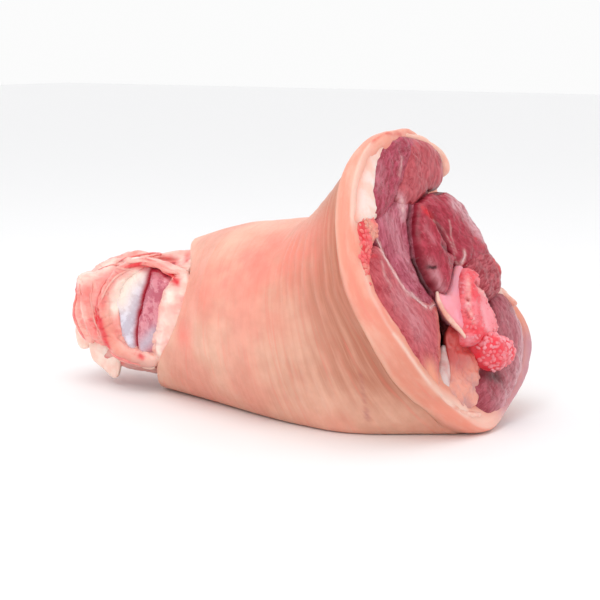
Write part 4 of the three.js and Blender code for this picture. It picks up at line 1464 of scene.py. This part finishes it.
class FatSettings(bpy.types.PropertyGroup):
    """Colours of fat, sinew and bone"""
    pale: shade("Fat", "Pale fat", 250, 206, 190)
    warm: shade("Warm fat", "Peach fat", 234, 156, 136)
    white: shade("White fat", "White fat inside the rind", 250, 226, 218)
    blood: shade("Blood", "Bright blood in fat", 228, 26, 42)
    rosy: shade("Rosy fat", "Fat stained with blood", 246, 96, 100)
    bone: shade("Bone", "Pink spongy bone", 246, 100, 110)
    pale_bone: shade("Pale bone", "Pale pink of smooth bone", 252, 156, 166)
    red_bone: shade("Red bone", "Bright red spongy bone", 246, 48, 68)
    marrow: shade("Marrow", "Red of the bone's pores", 196, 20, 42)
    tongue: shade("Fat by the cleft", "Rusty red fat beside the cleft", 196, 74, 70)
    tendon: shade("Dull fat", "Greyish pink in the fat by the cleft", 204, 140, 134)
    silver: shade("Tendon", "Greyish-white tendon", 222, 196, 192)
    lilac: shade("Bone skin", "Lilac skin of the bone", 250, 164, 182)
    grains: FloatProperty(name="Grains", description="Grains of bone a square millimetre", default=0.5, min=0.01)
    strand: FloatProperty(name="Strands", description="Thickness of the strands", default=1.0, min=0.1)
    sinew: shade("Sinew", "Pink sinew of the knuckle", 246, 148, 138)
    pale_sinew: shade("Pale sinew", "Paler sinew of the knuckle", 248, 186, 172)
    band: shade("Band", "Orange-pink band round the joint", 232, 146, 124)
    rose: shade("Rose", "Rosy streaks in the sinew", 240, 122, 122)
    cream: shade("Cream", "Creamy fat between the sinews", 254, 230, 216)
    # The colour of the painted shade on the knuckle's lower part
    underside_shade: shade("Grey", "Greyish underside", 184, 142, 134)
    cartilage: shade("Cartilage", "Bluish-white cartilage", 226, 222, 236)
    cartilage_shade: shade("Cartilage's shade", "Greyish patches of the cartilage", 196, 186, 200)
    joint: shade("Joint", "Purple-pink of the joint", 224, 138, 150)
    joint_mottle: shade("Joint's patches", "Purple-red patches of the joint", 184, 62, 90)
    # Also the colour of the shade painted inside the joint's opening
    joint_shade: shade("Joint's shade", "Dark red inside the joint", 184, 22, 50)


class StageSettings(bpy.types.PropertyGroup):
    """Floor and light"""
    floor: shade("Floor", "Pale floor", 247, 247, 248)
    softbox: FloatProperty(name="Softbox", description="Watts of the large light overhead", default=2.5, min=0)
    glint: FloatProperty(name="Glints", description="Watts of the small light in front", default=0.8, min=0)
    fill: FloatProperty(name="Fill light", description="Brightness of the surroundings", default=0.97, min=0)


# Operators

def camera_axes():
    azimuth, elevation = math.radians(CAMERA_AZIMUTH), math.radians(CAMERA_ELEVATION)
    back = Vector((
        math.sin(azimuth) * math.cos(elevation), -math.cos(azimuth) * math.cos(elevation), math.sin(elevation)
    ))
    right = Vector((math.cos(azimuth), math.sin(azimuth), 0))
    return right, back


class SHANK_OT_stage(bpy.types.Operator):
    """Makes the floor, the lights and the camera"""
    bl_idname = "shank.stage"
    bl_label = "Stage"

    def execute(self, context):
        s = context.scene.shank_stage
        scene = context.scene
        scene.view_settings.view_transform = "Standard"
        right, back = camera_axes()
        target = Vector(CAMERA_TARGET) * MM
        camera = bpy.data.objects.new("camera", bpy.data.cameras.new("camera"))
        camera.data.lens = CAMERA_LENS
        camera.data.sensor_width = 36
        camera.location = target + back * CAMERA_DISTANCE * MM
        camera.rotation_euler = back.to_track_quat("Z", "Y").to_euler()
        scene.collection.objects.link(camera)
        scene.camera = camera

        world = bpy.data.worlds.new("studio")
        world.use_nodes = True
        background = world.node_tree.nodes["Background"].inputs
        background["Color"].default_value = (1, 1, 1, 1)
        background["Strength"].default_value = s.fill
        scene.world = world

        for name, aside, forward, up, size, watts in (
            ("softbox", -0.15, 0.15, 0.9, 0.8, s.softbox),
            ("glint_light", -0.35, 0.7, 0.6, 0.12, s.glint),
        ):
            lamp = bpy.data.lights.new(name, "AREA")
            lamp.size = size
            lamp.energy = watts
            light = bpy.data.objects.new(name, lamp)
            light.location = target + right * aside + back * forward + Vector((0, 0, up))
            light.rotation_euler = (light.location - target).to_track_quat("Z", "Y").to_euler()
            scene.collection.objects.link(light)

        mesh = bpy.data.meshes.new("floor")
        reach = 4.0
        drop = -0.0002
        mesh.from_pydata(
            [(-reach, -reach, drop), (reach, -reach, drop), (reach, reach, drop), (-reach, reach, drop)],
            [], [(0, 1, 2, 3)],
        )
        paint = Paint("floor")
        soft = paint.fade(paint.noise(paint.place, 30), 0.3, 0.7, 0.6, 0.7)
        mesh.materials.append(paint.finish(colour(s.floor), soft, paint.bump(soft, 0.02, 0.0001)))
        floor = bpy.data.objects.new("floor", mesh)
        scene.collection.objects.link(floor)
        return {"FINISHED"}


class SHANK_OT_rind(bpy.types.Operator):
    """Makes the rind sleeve with its rolled lip"""
    bl_idname = "shank.rind"
    bl_label = "Rind"

    def execute(self, context):
        s = context.scene.shank_rind
        shape, marks = sculpted_sleeve(s)
        paint = rind_paint(s)
        put("rind", shape, paint, marks, ["meat"])
        fold = cut_lobe(FAR_LIP, around=48, steps=120)
        fold.swell(0.5 * rough(fold.corners, 9, 2, 74))
        put("far_lip", fold, paint, {"lip": 0.6, "fat": 0.3})
        return {"FINISHED"}


class SHANK_OT_muscles(bpy.types.Operator):
    """Makes the muscles of the cut end"""
    bl_idname = "shank.muscles"
    bl_label = "Muscles"

    def execute(self, context):
        s = context.scene.shank_meat
        fat = context.scene.shank_fat
        paints = {
            kind: muscle_paint(kind + "_meat", s, getattr(s, kind + "_dark"), getattr(s, kind + "_light"), fibrous)
            for kind, fibrous in FIBROUS.items()
        }
        shapes = []
        for name, entry in MUSCLES.items():
            kind = name.replace("_muscle", "").replace("top_", "")
            if kind not in FIBROUS:
                kind = "back"
            shapes.append(muscle(name, entry, FIBROUS[kind], s.relief, paints[kind]))
        skin_paint = fat_paint("meat_skin", fat, s.sheen, s.fascia)
        source = laid_on("meat_strands", shapes, CUT_STRANDS, above_cut, -SIGHT @ CUT_AXES)
        strand_growth().piece("meat_skin", source, "sinew", skin_paint, Thickness=fat.strand)
        band = belly(WHITE_BAND, -1, 1.8, 5, [(-2, 136), (-50, 104)], root=-5, tuck=0.05)
        band = lumpy(band, 0.3, 6, 81)
        run_out = near_paths(seen_at(band.corners), BAND_OUTER_EDGE)
        lip = context.scene.shank_rind.lip
        put("white_band", band, fat_paint("white_fat", fat, fat.white, fat.pale, lip), {"blood": run_out})
        return {"FINISHED"}


class SHANK_OT_bone(bpy.types.Operator):
    """Makes the bone's head with its skin, and the fat beside it"""
    bl_idname = "shank.bone"
    bl_label = "Bone"

    def execute(self, context):
        s = context.scene.shank_fat
        bone = bone_paint(s)
        ridge = belly(RIDGE, 1.5, 7.5, 7, [(16, 74), (4, 40)], root=-8)
        seen = seen_at(ridge.corners)
        smooth = near_paths(seen, RIDGE_SMOOTH)
        holes = np.maximum(near_paths(seen, RIDGE_HOLES), near_paths(seen, RIDGE_LINE))
        near, second = cells(ridge.corners, 2, 3)
        walls = fade(second - near, 0, 0.4)
        share = np.where(ridge.top, fade(ridge.depth, 0, 1.5), 0)
        sponge = (1 - smooth) * (0.6 * walls + 0.8 * rough(ridge.corners, 5, 3, 31))
        pores = (1 - walls) * (1 - smooth) * 0.2 * fade(rough(ridge.corners, 6, 2, 61), -0.4, 0.3)
        ridge.swell(share * (sponge - 1.2 * smooth - 1.5 * holes))
        marks = {
            "pores": np.maximum(holes, pores),
            "red": near_paths(seen, RIDGE_RED),
            "cream": near_paths(seen, RIDGE_CREAM),
            "smooth": smooth,
        }
        put("bone_ridge", ridge, bone, marks, ["shin_bone"])
        knob = lumpy(belly(KNOB, 1, 10, 9, [(0, 34), (28, 32)], root=-4), 1.4, 7, 33)
        red = fade(rough(knob.corners, 6, 2, 34), -0.5, 0.4)
        put("bone_knob", knob, bone, {"red": 0.7 + 0.3 * red, "pores": 0.3 * (1 - red)})
        grains = grain_growth()
        grain_tone = fat_paint("bone_grains", s, s.bone, s.pale_bone)
        source = grain_source("knob_source", knob, knob.top * fade(knob.depth, -0.1, 0.4))
        density = s.grains * 1e6
        grains.piece("knob_grains", source, "bone", grain_tone, Density=density)
        sponged = fade(rough(ridge.corners, 7, 2, 62), -0.6, 0) * (1 - smooth) * (1 - holes)
        source = grain_source("ridge_source", ridge, share * sponged)
        grains.piece(
            "ridge_grains", source, "bone", grain_tone, Density=density, Smallest=0.0005, Largest=0.0012, Seed=5
        )
        lilac = fat_paint("bone_skin", s, s.lilac, s.pale_bone)
        strip = belly(PERIOSTEUM, 1, 3, 4, [(8, 74), (-6, 58), (-2, 42)], root=-6, drift=6)
        put("bone_skin", lumpy(strip, 0.4, 8, 35), lilac)
        rolled = cut_lobe(ROLLED_EDGE, around=40, steps=110)
        rolled.swell(0.3 * rough(rolled.corners, 5, 2, 36))
        put("rolled_skin", rolled, fat_paint("rolled_skin", s, s.warm, s.pale))
        tongue = lumpy(belly(TONGUE, -2, 2.5, 5, [(-6, 46), (-10, 16)], root=-8, drift=6), 1.8, 7, 37)
        upper = fade(to_cut(tongue.corners)[:, 1] + 4 * noise(tongue.corners, 6, 40), 20, 40)
        put("fat_tongue", tongue, fat_paint("tongue_fat", s, s.warm, s.tendon, s.tongue), {"blood": upper})
        tendon = belly(TENDON, -4.2, 2.4, 3, [(-14, 40), (-24, 22)], root=-8, tuck=0.1)
        put("tendon", lumpy(tendon, 0.5, 6, 42), fat_paint("tendon", s, s.silver, s.tendon))
        tip = lumpy(belly(TIP_FAT, -1.2, 2.4, 3, [(-14, 10), (2, 8)], root=-5), 0.6, 5, 38)
        put("tip_fat", tip, fat_paint("tip_fat", s, s.pale, s.warm))
        scrap = lumpy(belly(FAR_FAT, -3, 4, 2.5, FAR_FAT[:2], root=-10), 0.8, 5, 44)
        put("far_fat", scrap, fat_paint("far_fat", s, s.pale, s.warm))
        patch = lumpy(belly(BLOOD_FAT, -2.5, 3, 4, [(-45, 104), (-56, 74)], root=-7), 1.0, 7, 9)
        core = near_paths(seen_at(patch.corners), BLOOD_CORE) * fade(rough(patch.corners, 5, 3, 39), -0.7, 0.1)
        bloody = fat_paint("bloody_fat", s, s.rosy, s.warm, s.blood)
        put("bloody_fat", patch, bloody, {"blood": core})
        source = grain_source("patch_source", patch, patch.top * fade(patch.depth, 0.3, 1.5) * 0.8)
        grains.piece(
            "fat_grains", source, "fat", fat_paint("fat_grains", s, s.rosy, s.warm), Density=density, Seed=8
        )
        return {"FINISHED"}


class SHANK_OT_knuckle(bpy.types.Operator):
    """Makes the skinned knuckle, its flaps and the two bones of its open joint"""
    bl_idname = "shank.knuckle"
    bl_label = "Knuckle"

    def execute(self, context):
        s = context.scene.shank_fat
        shape, marks = knuckle()
        put("knuckle", shape, knuckle_paint(s), marks)
        ankle = (s.cartilage, s.cartilage_shade, s.cream)
        shin = (s.joint, s.joint_mottle, s.cartilage_shade)
        for name, outline, colours, spots, node in (
            ("ankle_cartilage", ANKLE_BONE, ankle, [([(-93, 61), (-101, 54), (-105, 46)], 6, 1)], "ankle_bone"),
            ("shin_cartilage", SHIN_FOOT, shin, [([(-83, 31), (-92, 23)], 4, 0.8)], "shin_bone"),
        ):
            bone = lumpy(belly(outline, 19, 6.5, 7, JOINT_SLIT, root=10, place=on_leg), 0.5, 7, 51)
            near = bone.corners[:, [0, 2]]
            marks = {
                "slit": near_paths(near, [(JOINT_SLIT, 1.2, 1), (JOINT_BLOOD, 2, 0.8)]),
                "second": near_paths(near, spots),
            }
            put(name, bone, cartilage_paint(name, s, *colours), marks, [node])
        flap_paint = fat_paint("flap", s, s.cream, s.pale)
        for name, (outline, out) in FLAPS.items():
            flap = belly(outline, out, 0.8, 1.2, outline[:2], spacing=0.8, root=out - 1.2, place=on_leg)
            flap.corners = flap.corners + 0.9 * rough(flap.corners, 9, 3, 53)[:, None] * ACROSS
            put(name, flap, flap_paint)
        strands = strand_growth()
        for kind, tone in (("pale", s.pale_sinew), ("rose", s.rose), ("blood", s.blood)):
            chosen = [(path, size) for path, size, paint in SINEW_STRANDS if paint == kind]
            source = laid_on(kind + "_paths", [shape], chosen, above_leg, ACROSS)
            paint = fat_paint(kind + "_strands", s, tone, s.sinew)
            strands.piece(kind + "_strands", source, "sinew", paint, Thickness=s.strand)
        return {"FINISHED"}


class SHANK_PT_panel(bpy.types.Panel):
    """Lists the steps that build the shank"""
    bl_idname = "SHANK_PT_panel"
    bl_label = "Raw Pork Shank"
    bl_space_type = "VIEW_3D"
    bl_region_type = "UI"
    bl_category = "Shank"

    def draw(self, context):
        for step in STEPS:
            self.layout.operator(step.bl_idname)


SETTINGS = {
    "shank_rind": RindSettings,
    "shank_meat": MeatSettings,
    "shank_fat": FatSettings,
    "shank_stage": StageSettings,
}
STEPS = [SHANK_OT_stage, SHANK_OT_rind, SHANK_OT_muscles, SHANK_OT_bone, SHANK_OT_knuckle]


def register():
    for group in (*SETTINGS.values(), *STEPS, SHANK_PT_panel):
        bpy.utils.register_class(group)
    for name, group in SETTINGS.items():
        setattr(bpy.types.Scene, name, PointerProperty(type=group))


def unregister():
    for name in SETTINGS:
        delattr(bpy.types.Scene, name)
    for group in (SHANK_PT_panel, *reversed(STEPS), *SETTINGS.values()):
        bpy.utils.unregister_class(group)


def write_sizes():
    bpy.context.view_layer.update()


def main():
    register()
    bpy.ops.shank.stage()
    bpy.ops.shank.rind()
    bpy.ops.shank.muscles()
    bpy.ops.shank.bone()
    bpy.ops.shank.knuckle()
    write_sizes()


if __name__ == "__main__":
    main()
